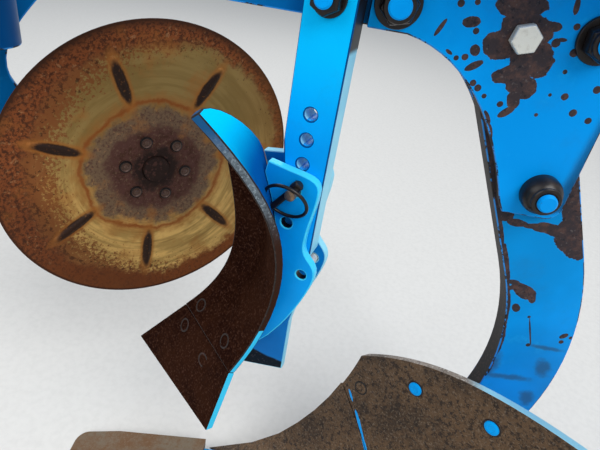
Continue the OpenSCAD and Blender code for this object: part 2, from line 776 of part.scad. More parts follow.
// Grid from d0 up to d1 as far as s1, the lower end reaching 30 further at the edge
function share_grid(s1, d0, d1, depth) = [
    [for (d = [d0, d1]) share_land_pt(d, depth)],
    [for (d = [d0, d1]) share_pt(s1 + 30 * d, d, depth)]];

module share() {
    ground_d = 1 - share_t * cos(share_slope) / share_h;
    color(worn) on_body() shell(share_grid(share_wing, 1, 0, 0),
        share_grid(share_wing, ground_d, 0, share_t));
}

// Foot of the frog, under the share
module frog_foot() {
    color(dark_blue) on_body() shell(share_grid(400, 0.55, 0.05, share_t + gap),
        share_grid(400, 0.55, 0.05, share_t + gap + frog_t));
}

// Reversible point, side view: its upper face falls from the rear to the tip's bevel
point_rear = [230, 40];
point_bevel = [372, 21];
point_tip_x = 441;
point_corner_r = 18;
module share_point() {
    low = [0, -point_t];
    color(rust) on_body() intersection() {
        side_plate(land_y, land_y + point_w) polygon([
            [point_tip_x, 0], point_bevel, point_rear, point_rear + low,
            point_bevel + low, [point_bevel[0] + 8, 0]]);
        translate([0, land_y, -1]) linear_extrude(point_rear[1] + 2) point_plan();
    }
}

// Its plan, with the corners of the tip worn round
module point_plan() {
    r = point_corner_r;
    translate([point_rear[0], 0]) square([point_tip_x - r - point_rear[0], point_w]);
    translate([point_rear[0], r]) square([point_tip_x - point_rear[0], point_w - 2 * r]);
    for (y = [r, point_w - r])
        translate([point_tip_x - r, y]) circle(r = r);
}

// Nose of the frog: it carries the point and stops it behind
nose_top = 36;
module frog_nose() {
    reach = 70;
    fall = (point_rear[1] - point_bevel[1]) / (point_bevel[0] - point_rear[0]);
    x = point_rear[0] - gap;
    seat = point_rear[1] - point_t - 2 * gap;
    color(dark_blue) on_body() side_plate(-leg_t / 2, land_y + point_w) polygon([
        [x + reach, 4], [x + reach, seat - reach * fall], [x, seat], [x, seat + 15],
        [x - 22, seat + 15], [x - 38, 20], [163, 20], [130, nose_top], [-60, nose_top],
        [-60, 4]]);
}

module landside() {
    y1 = -leg_t / 2 - gap;
    front = [for (i = [0 : 8]) back_at(y1, mix(16, landside_h + 4, i / 8))];
    color(rust) on_body() side_plate(land_y, y1)
        polygon(concat([[-330, 4], [front[0][0], 4]], front,
            [[-300, landside_h], [-330, landside_h - 30]]));
}

module frog_web() {
    y1 = leg_t / 2 + gap + frog_t;
    color(dark_blue) on_body() side_plate(leg_t / 2 + gap, y1)
        polygon(concat([[-60, nose_top + gap], [40, nose_top + gap]],
            [for (i = [0 : 10]) back_at(y1, mix(share_h + 8, 320, i / 10))],
            [[-90, 320], [-122, 240], [-112, 120]]));
}

// Stay from the landside to the board's wing
stay_s = 430;
stay_h = 190;
module board_stay() {
    p = soil_back(stay_s, stay_h);
    n = unit(p - soil_point(stay_s, stay_h));
    foot = [-262, -leg_t / 2 + 6, 72];
    color(dark_blue) on_body() {
        hull() {
            for (a = [-1, 1], b = [-1, 1])
                let (q = soil_back(stay_s + 28 * a, stay_h + 20 * b))
                translate(q + 5 * n) sphere(d = 9, $fn = 8);
            translate(p + 30 * n) sphere(d = 24, $fn = 12);
        }
        hull() {
            translate(p + 30 * n) sphere(d = 24, $fn = 12);
            translate(foot) rotate([90, 0, 0]) cylinder(d = 24, h = 2, $fn = 24);
        }
        translate([foot[0] - 30, -leg_t / 2, foot[2] - 22]) cube([60, 10, 44]);
    }
}

head_flange();
bracket_plate_near();
bracket_plate_far();
bracket_web();
bracket_bolts();
shear_bolt();
pivot_bolt();
leg();
carrier_bar();
skimmer_wedge();
skimmer_stalk();
skimmer_bolts();
skimmer_cheek_near();
skimmer_cheek_far();
skimmer_pin();
pin_ring();
adjust_screw();
skimmer_mouldboard();
skimmer_share();
disc_blade();
disc_hub();
disc_rivets();
disc_axle();
disc_arm();
swivel_head();
coulter_stem();
stem_collar();
stem_clamp();
clamp_strap();
clamp_bolts();
mouldboard();
shin_piece();
share();
share_point();
landside();
frog_web();
frog_foot();
frog_nose();
board_stay();
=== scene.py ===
"""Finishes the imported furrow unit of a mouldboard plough: paint, steel, bolts, welds.

Metres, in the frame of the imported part: +X the direction of travel, +Y the furrow
side, +Z up, with the origin in the middle of the top mounting face. Sizes that are
called heights are in millimetres above the share point. The profiles of turned pieces
are in millimetres too.
"""

import math
from contextlib import contextmanager
from types import SimpleNamespace

import bpy
from mathutils import Matrix, Vector


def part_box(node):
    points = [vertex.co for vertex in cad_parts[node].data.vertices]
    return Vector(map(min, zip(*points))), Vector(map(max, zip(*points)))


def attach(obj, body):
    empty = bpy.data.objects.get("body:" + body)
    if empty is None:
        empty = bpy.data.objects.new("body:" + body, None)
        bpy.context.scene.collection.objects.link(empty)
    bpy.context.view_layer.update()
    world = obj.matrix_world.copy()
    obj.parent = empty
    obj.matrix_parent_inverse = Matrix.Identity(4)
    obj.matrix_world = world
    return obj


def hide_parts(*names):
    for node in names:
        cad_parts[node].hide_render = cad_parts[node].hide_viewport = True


bl_info = {
    "name": "Plough furrow unit finish",
    "version": (1, 0, 0),
    "blender": (4, 5, 0),
    "location": "3D View > Sidebar > Plough",
    "description": "Finishes the packed furrow unit with paint, worn steel, bolts and welds",
    "category": "Object",
}

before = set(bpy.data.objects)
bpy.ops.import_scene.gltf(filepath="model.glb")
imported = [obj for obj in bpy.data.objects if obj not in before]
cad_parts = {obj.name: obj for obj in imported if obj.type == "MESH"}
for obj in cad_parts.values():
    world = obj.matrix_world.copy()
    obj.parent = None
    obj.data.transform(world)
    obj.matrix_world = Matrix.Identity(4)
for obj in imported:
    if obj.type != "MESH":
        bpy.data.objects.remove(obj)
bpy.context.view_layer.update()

MM = 0.001
SHARE_POINT_Z = -0.820

# Places of the CAD part: the plates, the stalk and the cheeks in millimetres, with x or
# the distance ahead of the stalk's axis first, then the height, then a nut's turn
PLATE_FACE_Y, LEG_FACE_Y = 27.3, 15.0    # outer faces of a bracket plate and the leg
BRACKET_BOLTS = ((93, 729, 0.25), (-72, 728, 0.6))
PIVOT_BOLTS = ((-79, 589, 0),)
SHEAR_BOLT = (-13, 720)
STALK_TURN = math.radians(-17)
STALK_PLACE = (143.0, 35.0)
STALK_HALF = 12.5            # half the stalk's thickness
STALK_BOLT_HEIGHTS = (727, 767)
CHEEK_HOLES = ((1, 560), (4.2, 523.8), (-19.5, 468.5))
HOLE_CLEAR = 9.5             # faces nearer than this to a hole's middle are its own
CHEEK_CORNER, CHEEK_CORNER_AT_BOARD = (20.0, 581.0), (31.0, 582.3)
PIN_RING, PIN_RING_WIRE, PIN_RING_LEAN = 21.3, 1.7, math.radians(23)

# The disc in metres
DISC_CENTRE = Vector((0.36597, -0.18936, -0.394))
DISC_TURN = math.radians(38)
DISC_RADIUS = 0.215
DISC_RIBS, FIRST_RIB = 7, math.radians(19.5)
RIVETS, FIRST_RIVET, RIVET_CIRCLE, RIVET_SHADOW_RING_FROM = 6, math.radians(-12), 0.0456, 0.0069

# Points (x, y, height) on the faces of the boards
MOULDBOARD_FACE = (18, -10, 240)
PAINTED_BOLTS = ((-38, 29, 299.5), (-110, 92, 328))
SKIMMER_BOARD_BOLTS = ((203, 54, 350), (247, -7, 342))
SKIMMER_SHARE_FACE, SKIMMER_SHARE_BOLTS = (263.5, 1.2, 311), ((264, 1, 311), (227, 50, 308))

# The cosine of the angle from a plate's side beyond which a face is its cut edge
EDGE_ON = 0.5


def spot(x, y, h):
    """Place in metres of a point in millimetres, with its height above the share point."""
    return Vector((x * MM, y * MM, h * MM + SHARE_POINT_Z))


def facing(place, outward, up=(0, 0, 1)):
    """Matrix whose Z axis looks outward from a place, with its Y axis near up."""
    z = Vector(outward).normalized()
    x = Vector(up).cross(z)
    x = x.normalized() if x.length > 1e-6 else Vector((1, 0, 0))
    y = z.cross(x)
    turn = Matrix((x, y, z)).transposed().to_4x4()
    return Matrix.Translation(place) @ turn


def on_stalk(x, y, h):
    """Point of the stalk's own frame, in the part's frame."""
    c, s = math.cos(STALK_TURN), math.sin(STALK_TURN)
    return spot(STALK_PLACE[0] + x * c - y * s, STALK_PLACE[1] + x * s + y * c, h)


# The photograph's view, and the ways that the stalk and the disc face
VIEW_RIGHT = Vector((-0.985, -0.0915, 0.1476))
VIEW_UP = Vector((0.1736, -0.519, 0.837))
VIEW_BACK = Vector((0.0, 0.850, 0.527))
STALK_OUT = Vector((-math.sin(STALK_TURN), math.cos(STALK_TURN), 0))
STALK_BACK = Vector((-math.cos(STALK_TURN), -math.sin(STALK_TURN), 0))
DISC_OUT = Vector((-math.sin(DISC_TURN), math.cos(DISC_TURN), 0))
UP = Vector((0, 0, 1))
CAMERA_PLACE = Vector((0.140, 0.468, -0.040))
LENS, SENSOR = 30, 36        # millimetres
PICTURE_WIDTH, PICTURE_HEIGHT = 600, 450

# Filled by the finishes: each material under its name
MATERIALS = {}


# Sizes and colours that a user would change


def number(name, text, value, **limits):
    return bpy.props.FloatProperty(
        name=name, description=text, default=value, min=0, **limits)


def length(name, text, size):
    return number(name, text, size, subtype="DISTANCE", unit="LENGTH")


def colour(name, text, value):
    return bpy.props.FloatVectorProperty(
        name=name, description=text, default=value, size=3, min=0, max=1, subtype="COLOR")


class PLOUGH_PG_paint(bpy.types.PropertyGroup):
    """Colours of the enamel paint."""
    blue: colour("Blue", "Main colour of the paint", (0.001, 0.335, 0.84))
    deep: colour("Deep blue", "Paint in its darker clouds", (0.001, 0.22, 0.62))
    pale: colour("Pale blue", "Paint rubbed pale on edges", (0.03, 0.56, 0.92))
    # Painted shade: the dark navy that the blue paint takes where it lies in shade
    navy: colour("Shaded blue", "Paint on the coulter's head", (0.001, 0.028, 0.11))
    bare: colour("Bare metal", "Brown metal where the paint is gone", (0.040, 0.025, 0.022))
    rust: colour("Rust", "Rust in the bare metal", (0.082, 0.042, 0.030))
    roughness: number(
        "Roughness", "Roughness of the sound paint", 0.36, max=1, subtype="FACTOR")


class PLOUGH_PG_steel(bpy.types.PropertyGroup):
    """Colours of the bare steels."""
    board: colour("Mouldboard", "Scoured steel of the mouldboard", (0.116, 0.066, 0.033))
    board_dark: colour("Mouldboard stain", "Dark stains", (0.022, 0.014, 0.010))
    board_pale: colour("Mouldboard glint", "Pale scoured streaks", (0.20, 0.150, 0.105))
    point: colour("Point", "Olive-grey steel of the point", (0.170, 0.140, 0.100))
    point_dark: colour("Point stain", "Rust on the point", (0.150, 0.070, 0.028))
    # Partly painted shade: dark oiled steel, made darker still for the shade that the
    # skimmer's front lies in
    skimmer: colour("Skimmer steel", "Dark steel of the skimmer", (0.012, 0.003, 0.0015))
    skimmer_rust: colour("Skimmer rust", "Red-brown film on this steel", (0.028, 0.009, 0.004))
    skimmer_pale: colour("Skimmer glint", "Grey-tan scratches", (0.080, 0.036, 0.024))
    black: colour("Blackened steel", "Nuts and washers", (0.010, 0.007, 0.006))
    bronze: colour("Browned steel", "Pin and old zinc", (0.26, 0.17, 0.10))
    zinc: colour("Zinc", "Plated bolt heads", (0.66, 0.66, 0.60))


class PLOUGH_PG_disc(bpy.types.PropertyGroup):
    """Colours and bands of the coulter's disc."""
    rim_rust: colour("Rim rust", "Red-brown rust of the outer band", (0.190, 0.052, 0.014))
    rim_dark: colour("Rim edge", "Dark cutting edge", (0.036, 0.012, 0.005))
    rim_tan: colour("Rim grain", "Tan flecks of the rusty rim", (0.40, 0.20, 0.085))
    polish: colour("Polished band", "Golden scoured band", (0.67, 0.41, 0.125))
    # Painted shade: the darker olive of the scoured band's upper part
    polish_upper_shade: colour("Upper band", "Olive-tan upper part of the band", (0.230, 0.150, 0.048))
    polish_dark: colour("Polish shade", "Olive arcs of the band", (0.190, 0.115, 0.030))
    grey: colour("Grey band", "Grey-tan band round the hub", (0.155, 0.096, 0.054))
    ring: colour("Ring glow", "Orange rust round the ring", (0.32, 0.115, 0.022))
    ring_dark: colour("Ring rust", "Ring inside the scoured band", (0.22, 0.050, 0.008))
    inner: colour("Inner rust", "Purple-brown rust round the rivets", (0.075, 0.030, 0.022))
    centre: colour("Centre", "Brown-black middle", (0.016, 0.008, 0.006))
    rim_from: length("Rim band", "Radius where the rusty outer band begins", 0.186)
    ring_at: length("Ring", "Radius of the orange ring", 0.101)


class PLOUGH_PG_edges(bpy.types.PropertyGroup):
    """Widths of the worn edges."""
    plate: length("Plate edge", "Bevel of flame-cut plates", 0.0013)
    sheet: length("Sheet edge", "Bevel of the wearing sheets", 0.0012)
    casting: length("Casting edge", "Bevel of forged and cast pieces", 0.0022)
    bolt: length("Bolt edge", "Bevel of nuts and bolts", 0.0007)


class PLOUGH_PG_fasteners(bpy.types.PropertyGroup):
    """Sizes of the fasteners."""
    plough_bolt: length("Plough bolt", "Diameter of a plough bolt's head", 0.019)
    plough_bolt_rise: length("Head rise", "Height of a plough bolt's head", 0.0022)
    skimmer_bolt: length("Skimmer bolt", "Diameter of a skimmer bolt's head", 0.015)
    weld: length("Weld", "Width of a weld bead", 0.008)


class PLOUGH_PG_stage(bpy.types.PropertyGroup):
    """Floor, light and lens."""
    floor: colour("Floor", "Pale floor", (0.62, 0.61, 0.585))
    key: number("Key light", "Power of the large soft light", 104, unit="POWER")
    fill: number("Fill light", "Power of the lights from the other sides", 36, unit="POWER")
    sky: number("Sky", "Strength of the even light all round", 0.62)
    lens: number("Lens", "Focal length in millimetres", LENS, unit="CAMERA")


# Modelling with Blender's own operators


def nothing_selected():
    if bpy.context.mode != "OBJECT":
        bpy.ops.object.mode_set(mode="OBJECT")
    bpy.ops.object.select_all(action="DESELECT")


def chosen(piece):
    nothing_selected()
    piece.select_set(True)
    bpy.context.view_layer.objects.active = piece
    return piece


@contextmanager
def editing(piece, select="SELECT", kind=2):
    """Edit mode for a block: 0 works on vertices, 1 on edges and 2 on faces."""
    chosen(piece)
    bpy.context.tool_settings.mesh_select_mode = [i == kind for i in range(3)]
    bpy.ops.object.mode_set(mode="EDIT")
    if select:
        bpy.ops.mesh.select_all(action=select)
    yield piece
    bpy.ops.object.mode_set(mode="OBJECT")


def apply_all(piece):
    chosen(piece)
    for modifier in list(piece.modifiers):
        bpy.ops.object.modifier_apply(modifier=modifier.name)


def smooth_by_angle(piece, degrees=40, weighted=True):
    """Smooth shading up to an angle, with broad flat faces kept flat."""
    chosen(piece)
    bpy.ops.object.shade_smooth_by_angle(angle=math.radians(degrees))
    if weighted:
        weights = piece.modifiers.new("weights", "WEIGHTED_NORMAL")
        weights.keep_sharp = True
        apply_all(piece)


def bevelled(piece, width, degrees=32, material=-1):
    """Rounds the edges that bend by more than an angle."""
    bevel = piece.modifiers.new("edges", "BEVEL")
    bevel.limit_method = "ANGLE"
    bevel.angle_limit = math.radians(degrees)
    bevel.width = width
    bevel.segments = 2
    bevel.use_clamp_overlap = False
    bevel.material = material
    apply_all(piece)


def merged_copy(node, name):
    """A copy of a CAD node's mesh with its loose triangles joined into flat faces."""
    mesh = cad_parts[node].data.copy()
    piece = bpy.data.objects.new(name, mesh)
    bpy.context.scene.collection.objects.link(piece)
    mesh.materials.clear()
    if "custom_normal" in mesh.attributes:
        mesh.attributes.remove(mesh.attributes["custom_normal"])
    with editing(piece):
        bpy.ops.mesh.remove_doubles(threshold=2e-6)
        bpy.ops.mesh.dissolve_degenerate(threshold=1e-6)
        bpy.ops.mesh.dissolve_limited(angle_limit=math.radians(0.4))
    return piece


def placed(piece, matrix):
    """Puts a piece modelled at the origin where it belongs, with the place in its mesh."""
    piece.data.transform(matrix)
    piece.data.update()
    return piece


def copied(piece, matrix):
    """A placed copy of a piece with a mesh of its own."""
    twin = piece.copy()
    twin.data = piece.data.copy()
    bpy.context.scene.collection.objects.link(twin)
    return placed(twin, matrix)


def joined(pieces, name):
    chosen(pieces[0])
    for piece in pieces:
        piece.select_set(True)
    if len(pieces) > 1:
        bpy.ops.object.join()
    piece = bpy.context.view_layer.objects.active
    piece.name = name
    return piece


def dressed(piece, *names):
    """Gives a piece just the materials of these names."""
    piece.data.materials.clear()
    for name in names:
        added_slot(piece, name)
    return piece


def added_slot(piece, name):
    """Adds a material to a piece and gives the number of its slot."""
    piece.data.materials.append(MATERIALS[name])
    return len(piece.data.materials) - 1


def turned(profile, material, sides=32, smooth=40, weighted=True, turn=0.0):
    """Solid about Z from a profile of (radius, height) in millimetres, drawn up by
    extruding and scaling its first disc."""
    radius, low = profile[0]
    nothing_selected()
    bpy.ops.mesh.primitive_circle_add(
        vertices=sides, radius=radius * MM, fill_type="NGON", location=(0, 0, low * MM),
        rotation=(0, 0, turn))
    piece = bpy.context.active_object
    bpy.ops.object.transform_apply(location=True, rotation=True, scale=True)
    with editing(piece):
        for wide, high in profile[1:]:
            bpy.ops.mesh.extrude_region_move(
                TRANSFORM_OT_translate={"value": (0, 0, (high - low) * MM)})
            bpy.ops.transform.resize(
                value=(wide / radius, wide / radius, 1),
                center_override=(0, 0, high * MM))
            radius, low = wide, high
        bpy.ops.mesh.select_all(action="SELECT")
        bpy.ops.mesh.normals_make_consistent(inside=False)
    if smooth:
        smooth_by_angle(piece, smooth, weighted)
    return dressed(piece, material)


def hexagon(profile, material, bevel, turn=math.pi / 6):
    """Nut or bolt head: a turned piece with six sides and rounded edges."""
    piece = turned(profile, material, 6, None, turn=turn)
    bevelled(piece, bevel, 20)
    smooth_by_angle(piece, 35)
    return piece


def washer(diameter, thickness, material):
    radius = diameter / 2
    return turned([(radius - 0.6, 0), (radius, 0.6), (radius, thickness - 0.8),
                   (radius - 0.8, thickness)], material, 40, 50)


def stud_end(diameter, height, start, material, pitch=2.0):
    """Threaded end: rings of thread up to a chamfered tip."""
    crest, depth = diameter / 2, 0.9
    profile = [(crest - depth, start)]
    z = start
    while z + pitch < height - 1.5:
        profile += [(crest, z + pitch * 0.5), (crest - depth, z + pitch)]
        z += pitch
    profile += [(crest - 0.2, height - 1.2), (crest - 1.6, height)]
    return turned(profile, material, 32, 30, False)


def weld_bead(start, end, width):
    """Straight bead with a ripple for each drop of the weld, from start to end."""
    radius, run, drop = width / MM / 2, (end - start).length / MM, 2.6
    profile = [(radius * 0.5, 0)]
    for i in range(int(run / drop)):
        profile += [(radius * 0.86, i * drop + 0.4), (radius, i * drop + 1.5)]
    profile.append((radius * 0.5, run))
    return placed(turned(profile, "frame_paint", 14, 50, False), facing(start, end - start))


def plough_bolt(board, near, diameter, rise, head, shadow_finish="black_steel"):
    """Low domed head seated on the nearest point of a face, in a dark ring that is painted
    shadow.
    """
    found, place, normal, _ = board.closest_point_on_mesh(near)
    if not found:
        raise RuntimeError("no board under the bolt at " + str(tuple(near)))
    r = diameter / 2
    shadow_ring = turned([
        (r + 1.2, -1.6), (r + 1.5, 0.25), (r + 1.1, 0.55), (r + 0.3, 0.35)], shadow_finish, 36)
    dome = turned([
        (r - 0.6, -1.5), (r - 0.6, rise * 0.3), (r - 1.0, rise * 0.75), (r * 0.74, rise),
        (r * 0.5, rise * 1.06), (r * 0.46, rise * 0.9), (r * 0.2, rise * 0.95)], head, 36)
    return placed(joined([dome, shadow_ring], "head"), facing(place, normal))


def finished(piece, slot, *nodes, body="root"):
    """Says what a finished piece rides on and stands for; the slot is not used."""
    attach(piece, body)
    if nodes:
        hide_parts(*nodes)
    return piece


def only(piece, kind, wanted):
    """Selects, in object mode, just the vertices or polygons that wanted accepts."""
    for each in ("vertices", "edges", "polygons"):
        parts = getattr(piece.data, each)
        parts.foreach_set("select", [each == kind and wanted(part) for part in parts])


def given_slot(piece, slot, wanted):
    """Gives a material slot to the faces that wanted accepts."""
    for face in piece.data.polygons:
        if wanted(face):
            face.material_index = slot


def sheet_side(piece, near, depth, slot, degrees=30):
    """Gives a material slot to the whole smooth side of a sheet that a point lies on, or
    with a depth to the side that lies so far behind it."""
    bpy.context.view_layer.update()
    found, place, normal, index = piece.closest_point_on_mesh(near)
    if found and depth:
        found, _, _, index = piece.closest_point_on_mesh(place - normal * depth)
    if not found:
        raise RuntimeError("no side of " + piece.name + " near " + str(tuple(near)))
    only(piece, "polygons", lambda face: face.index == index)
    with editing(piece, None):
        bpy.ops.mesh.faces_select_linked_flat(sharpness=math.radians(degrees))
        piece.active_material_index = slot
        bpy.ops.object.material_slot_assign()


def cut_face(face, side=Vector((0, 1, 0))):
    """True on the cut edge of a plate whose sides face along the side."""
    return abs(face.normal.dot(side)) < EDGE_ON


# Painted shade: the leg's forward-facing cut faces, which lie in shade, take the dark cut
# finish
def shaded_front_cut_face(face):
    return cut_face(face) and face.normal.x > 0


def off_stalk(place):
    """How far ahead of the stalk's axis and how high above the share point, in mm."""
    ahead = (place.x / MM - STALK_PLACE[0], place.y / MM - STALK_PLACE[1])
    return (ahead[0] * math.cos(STALK_TURN) + ahead[1] * math.sin(STALK_TURN),
            (place.z - SHARE_POINT_Z) / MM)


def stalk_cut_face(face):
    return cut_face(face, STALK_OUT)


def cheek_rim(face):
    """True on the cut edge of a cheek, and not in its holes."""
    place = off_stalk(face.center)
    return (stalk_cut_face(face)
            and all(math.dist(place, hole) > HOLE_CLEAR for hole in CHEEK_HOLES))


def corner_carried(piece, corner, to):
    """Moves a corner of a plate that stands with the stalk, both given as places off it."""
    chosen(piece)
    only(piece, "vertices", lambda v: math.dist(off_stalk(v.co), corner) < 1.5)
    with editing(piece, None, 0):
        bpy.ops.transform.translate(
            value=on_stalk(to[0], 0, to[1]) - on_stalk(corner[0], 0, corner[1]))


def softened(node, slot, width, material, edge=None, degrees=32, cut=(), sides=(),
             shaped=None, body="root"):
    """Stands for a sharp CAD node with its edges rounded and its faces shaded. A cut
    finish goes on the faces that its test accepts, and each of the sides is a point on
    the sheet, a depth behind it and a finish."""
    piece = merged_copy(node, node + "_finished")
    if shaped:
        shaped(piece)
    dressed(piece, *filter(None, (material, edge)))
    for finish, wanted in cut:
        given_slot(piece, added_slot(piece, finish), wanted)
    for near, depth, finish in sides:
        sheet_side(piece, near, depth, added_slot(piece, finish))
    if width:
        bevelled(piece, width, degrees, 1 if edge else -1)
    smooth_by_angle(piece)
    return finished(piece, slot, node, body=body)


# Shader maths as plain expressions


class Wire:
    """A socket of a material. Operators on it add Math nodes."""

    def __init__(self, finish, socket):
        self.finish = finish
        self.socket = socket

    def maths(self, operation, *values):
        return self.finish.node(
            "ShaderNodeMath", {"operation": operation}, dict(enumerate(values)))

    def __add__(self, other):
        return self.maths("ADD", self, other)

    __radd__ = __add__

    def __sub__(self, other):
        return self.maths("SUBTRACT", self, other)

    def __rsub__(self, other):
        return self.maths("SUBTRACT", other, self)

    def __mul__(self, other):
        return self.maths("MULTIPLY", self, other)

    __rmul__ = __mul__

    def __abs__(self):
        return self.maths("ABSOLUTE", self)

    def most(self, other):
        return self.maths("MAXIMUM", self, other)

    def step(self, low, high):
        """0 below low, 1 above high, and a smooth rise between."""
        return self.finish.node(
            "ShaderNodeMapRange", {"interpolation_type": "SMOOTHSTEP", "clamp": True},
            {"Value": self, "From Min": low, "From Max": high})

    def hump(self, middle, half):
        """1 at the middle and 0 beyond half the width on either side."""
        return 1 - abs(self - middle).step(0, half)


class Finish:
    """A material under construction, read from Object coordinates."""

    def __init__(self, name):
        self.name = name
        self.material = bpy.data.materials.new(name)
        self.material.use_nodes = True
        self.tree = self.material.node_tree
        self.tree.nodes.clear()
        self.shader = self.tree.nodes.new("ShaderNodeBsdfPrincipled")
        output = self.tree.nodes.new("ShaderNodeOutputMaterial")
        self.tree.links.new(self.shader.outputs["BSDF"], output.inputs["Surface"])
        self.place = self.node("ShaderNodeTexCoord", output="Object")

    def node(self, kind, settings=None, inputs=None, output=0):
        node = self.tree.nodes.new(kind)
        for name, value in (settings or {}).items():
            setattr(node, name, value)
        for socket, value in (inputs or {}).items():
            self.feed(node.inputs[socket], value)
        return Wire(self, node.outputs[output])

    def feed(self, socket, value):
        if isinstance(value, Wire):
            self.tree.links.new(value.socket, socket)
        elif socket.type == "RGBA":
            socket.default_value = (*value, 1)
        else:
            socket.default_value = value

    def mapped(self, centre=(0, 0, 0), turn=(0, 0, 0), scale=(1, 1, 1)):
        """Object coordinates about a centre, turned and then scaled."""
        return self.node("ShaderNodeMapping", {"vector_type": "TEXTURE"}, {
            "Vector": self.place, "Location": tuple(centre), "Rotation": turn,
            "Scale": tuple(1 / s if s else 1e6 for s in scale)})

    def noise(self, scale, detail=4, roughness=0.55, at=None):
        return self.node("ShaderNodeTexNoise", None, {
            "Vector": at or self.place, "Scale": scale, "Detail": detail,
            "Roughness": roughness, "Distortion": 0})

    def cells(self, scale):
        return self.node("ShaderNodeTexVoronoi", {"feature": "F1"}, {
            "Vector": self.place, "Scale": scale})

    def mix(self, factor, first, second):
        mixed = self.tree.nodes.new("ShaderNodeMix")
        mixed.data_type = "RGBA"
        for index, value in ((0, factor), (6, first), (7, second)):
            self.feed(mixed.inputs[index], value)
        return Wire(self, mixed.outputs[2])

    def stack(self, colour, *layers):
        """Lays colours over one another, each with the mask that it shows through."""
        for mask, over in layers:
            colour = self.mix(mask, colour, over)
        return colour

    def vector_maths(self, operation, first, second, output=0):
        return self.node("ShaderNodeVectorMath", {"operation": operation}, {
            0: first, 1: second}, output)

    def coordinate(self, vector, axis):
        return self.node("ShaderNodeSeparateXYZ", None, {0: vector}, axis)

    def bump(self, height, distance, strength=1.0):
        return self.node("ShaderNodeBump", None, {
            "Height": height, "Distance": distance, "Strength": strength})

    def shade(self, **values):
        """Sets the shader's own sockets, base_color for Base Color, and files the
        material under its name."""
        for name, value in values.items():
            socket = name.replace("_", " ").title().replace("Ior", "IOR")
            self.feed(self.shader.inputs[socket], value)
        MATERIALS[self.name] = self.material


def blotches(finish, spots, ragged=0.35, scale=55):
    """Field that is above 0.5 on ragged spots, each (x, height, half width, half height,
    lean) or a round (x, height, radius), seen from the side."""
    rough = finish.noise(scale, 5, 0.65)
    flat = finish.vector_maths("MULTIPLY", finish.place, (1, 0, 1))
    field = None
    for x, h, *size in spots:
        centre = spot(x, 0, h)
        if len(size) == 1:
            off = finish.vector_maths(
                "DISTANCE", flat, (centre.x, 0, centre.z), "Value") * (1 / (size[0] * MM))
        else:
            half_w, half_h, degrees = size
            vector = finish.mapped(
                (centre.x, 0, centre.z), (0, math.radians(-degrees), 0),
                (1 / (half_w * MM), 0, 1 / (half_h * MM)))
            off = finish.vector_maths("LENGTH", vector, (0, 0, 0), "Value")
        near = 1 - off * 0.5
        field = near if field is None else field.most(near)
    return field + (rough - 0.5) * ragged


def paint(name, tone, chips, spots=(), grime=(), painted_light_fade=None, shadow_below=None, shine=0.28):
    """Blue enamel: soft clouds, orange peel, chips and bare patches down to brown metal, with
    some spots and all below a shadow height in mm laid in the bare colour as painted shadow.
    A painted light fade is two heights and the colour at the upper one: painted highlight
    where that colour is lighter, painted shade where it is darker."""
    finish = Finish(name)
    cloud = finish.noise(6, 4, 0.55)
    speck = finish.noise(260, 2, 0.6)
    colour = finish.stack(
        tone.blue, (cloud.step(0.40, 0.66) * 0.75, tone.deep),
        (finish.noise(24, 5, 0.7).step(0.60, 0.80) * 0.22, tone.pale))
    height_over_point = finish.coordinate(finish.place, 2) - SHARE_POINT_Z
    if painted_light_fade:
        low, high, upper = painted_light_fade
        colour = finish.mix(height_over_point.step(low * MM, high * MM), colour, upper)
    bare = finish.noise(150, 5, 0.62).step(0.735 - chips, 0.745 - chips)
    # Painted shadow: the bare colour laid over all the paint below a height
    if shadow_below:
        bare = bare.most(1 - (height_over_point + (cloud - 0.5) * 0.05).step(
            (shadow_below - 2) * MM, (shadow_below + 2) * MM))
    if spots:
        bare = bare.most(blotches(finish, spots, 0.42).step(0.49, 0.51))
    dirt = finish.noise(16, 6, 0.72).step(0.52, 0.80) * 0.16
    if grime:
        dirt = dirt.most(blotches(finish, grime, 0.8, 60).step(0.36, 0.80) * 0.62)
    metal = finish.stack(
        tone.bare, (finish.noise(90, 5, 0.7).step(0.44, 0.66), tone.rust),
        (speck.step(0.60, 0.72) * 0.55, (0.125, 0.098, 0.088)),
        (finish.noise(190, 3, 0.6).step(0.58, 0.68) * 0.7, (0.014, 0.009, 0.008)))
    height = (1 - bare) * 0.8 + speck * 0.08 + bare * finish.noise(340, 3, 0.6) * 0.45
    finish.shade(
        base_color=finish.stack(colour, (dirt, (0.030, 0.050, 0.060)), (bare, metal)),
        roughness=bare * 0.25 + cloud * 0.08 + dirt * 0.35 + (tone.roughness - 0.04),
        metallic=bare * 0.15, specular_ior_level=shine,
        specular_tint=(0.05, 0.55, 1.0),
        normal=finish.bump(height, 0.00035, 0.9))


def cut_edge(name, tone, dark, share=0.62):
    """Flame-cut edge: brown-black scale with remains of blue paint."""
    finish = Finish(name)
    film = finish.noise(42, 6, 0.72)
    grain = finish.noise(300, 3, 0.6)
    left = film.step(share, share + 0.03)
    finish.shade(
        base_color=finish.stack(
            dark, (grain.step(0.5, 0.7) * 0.5, tone.rust), (left, tone.deep)),
        roughness=0.62 - left * 0.2, metallic=0.0, specular_ior_level=0.3,
        normal=finish.bump(grain * 0.4 + left * 0.6, 0.0004, 0.8))


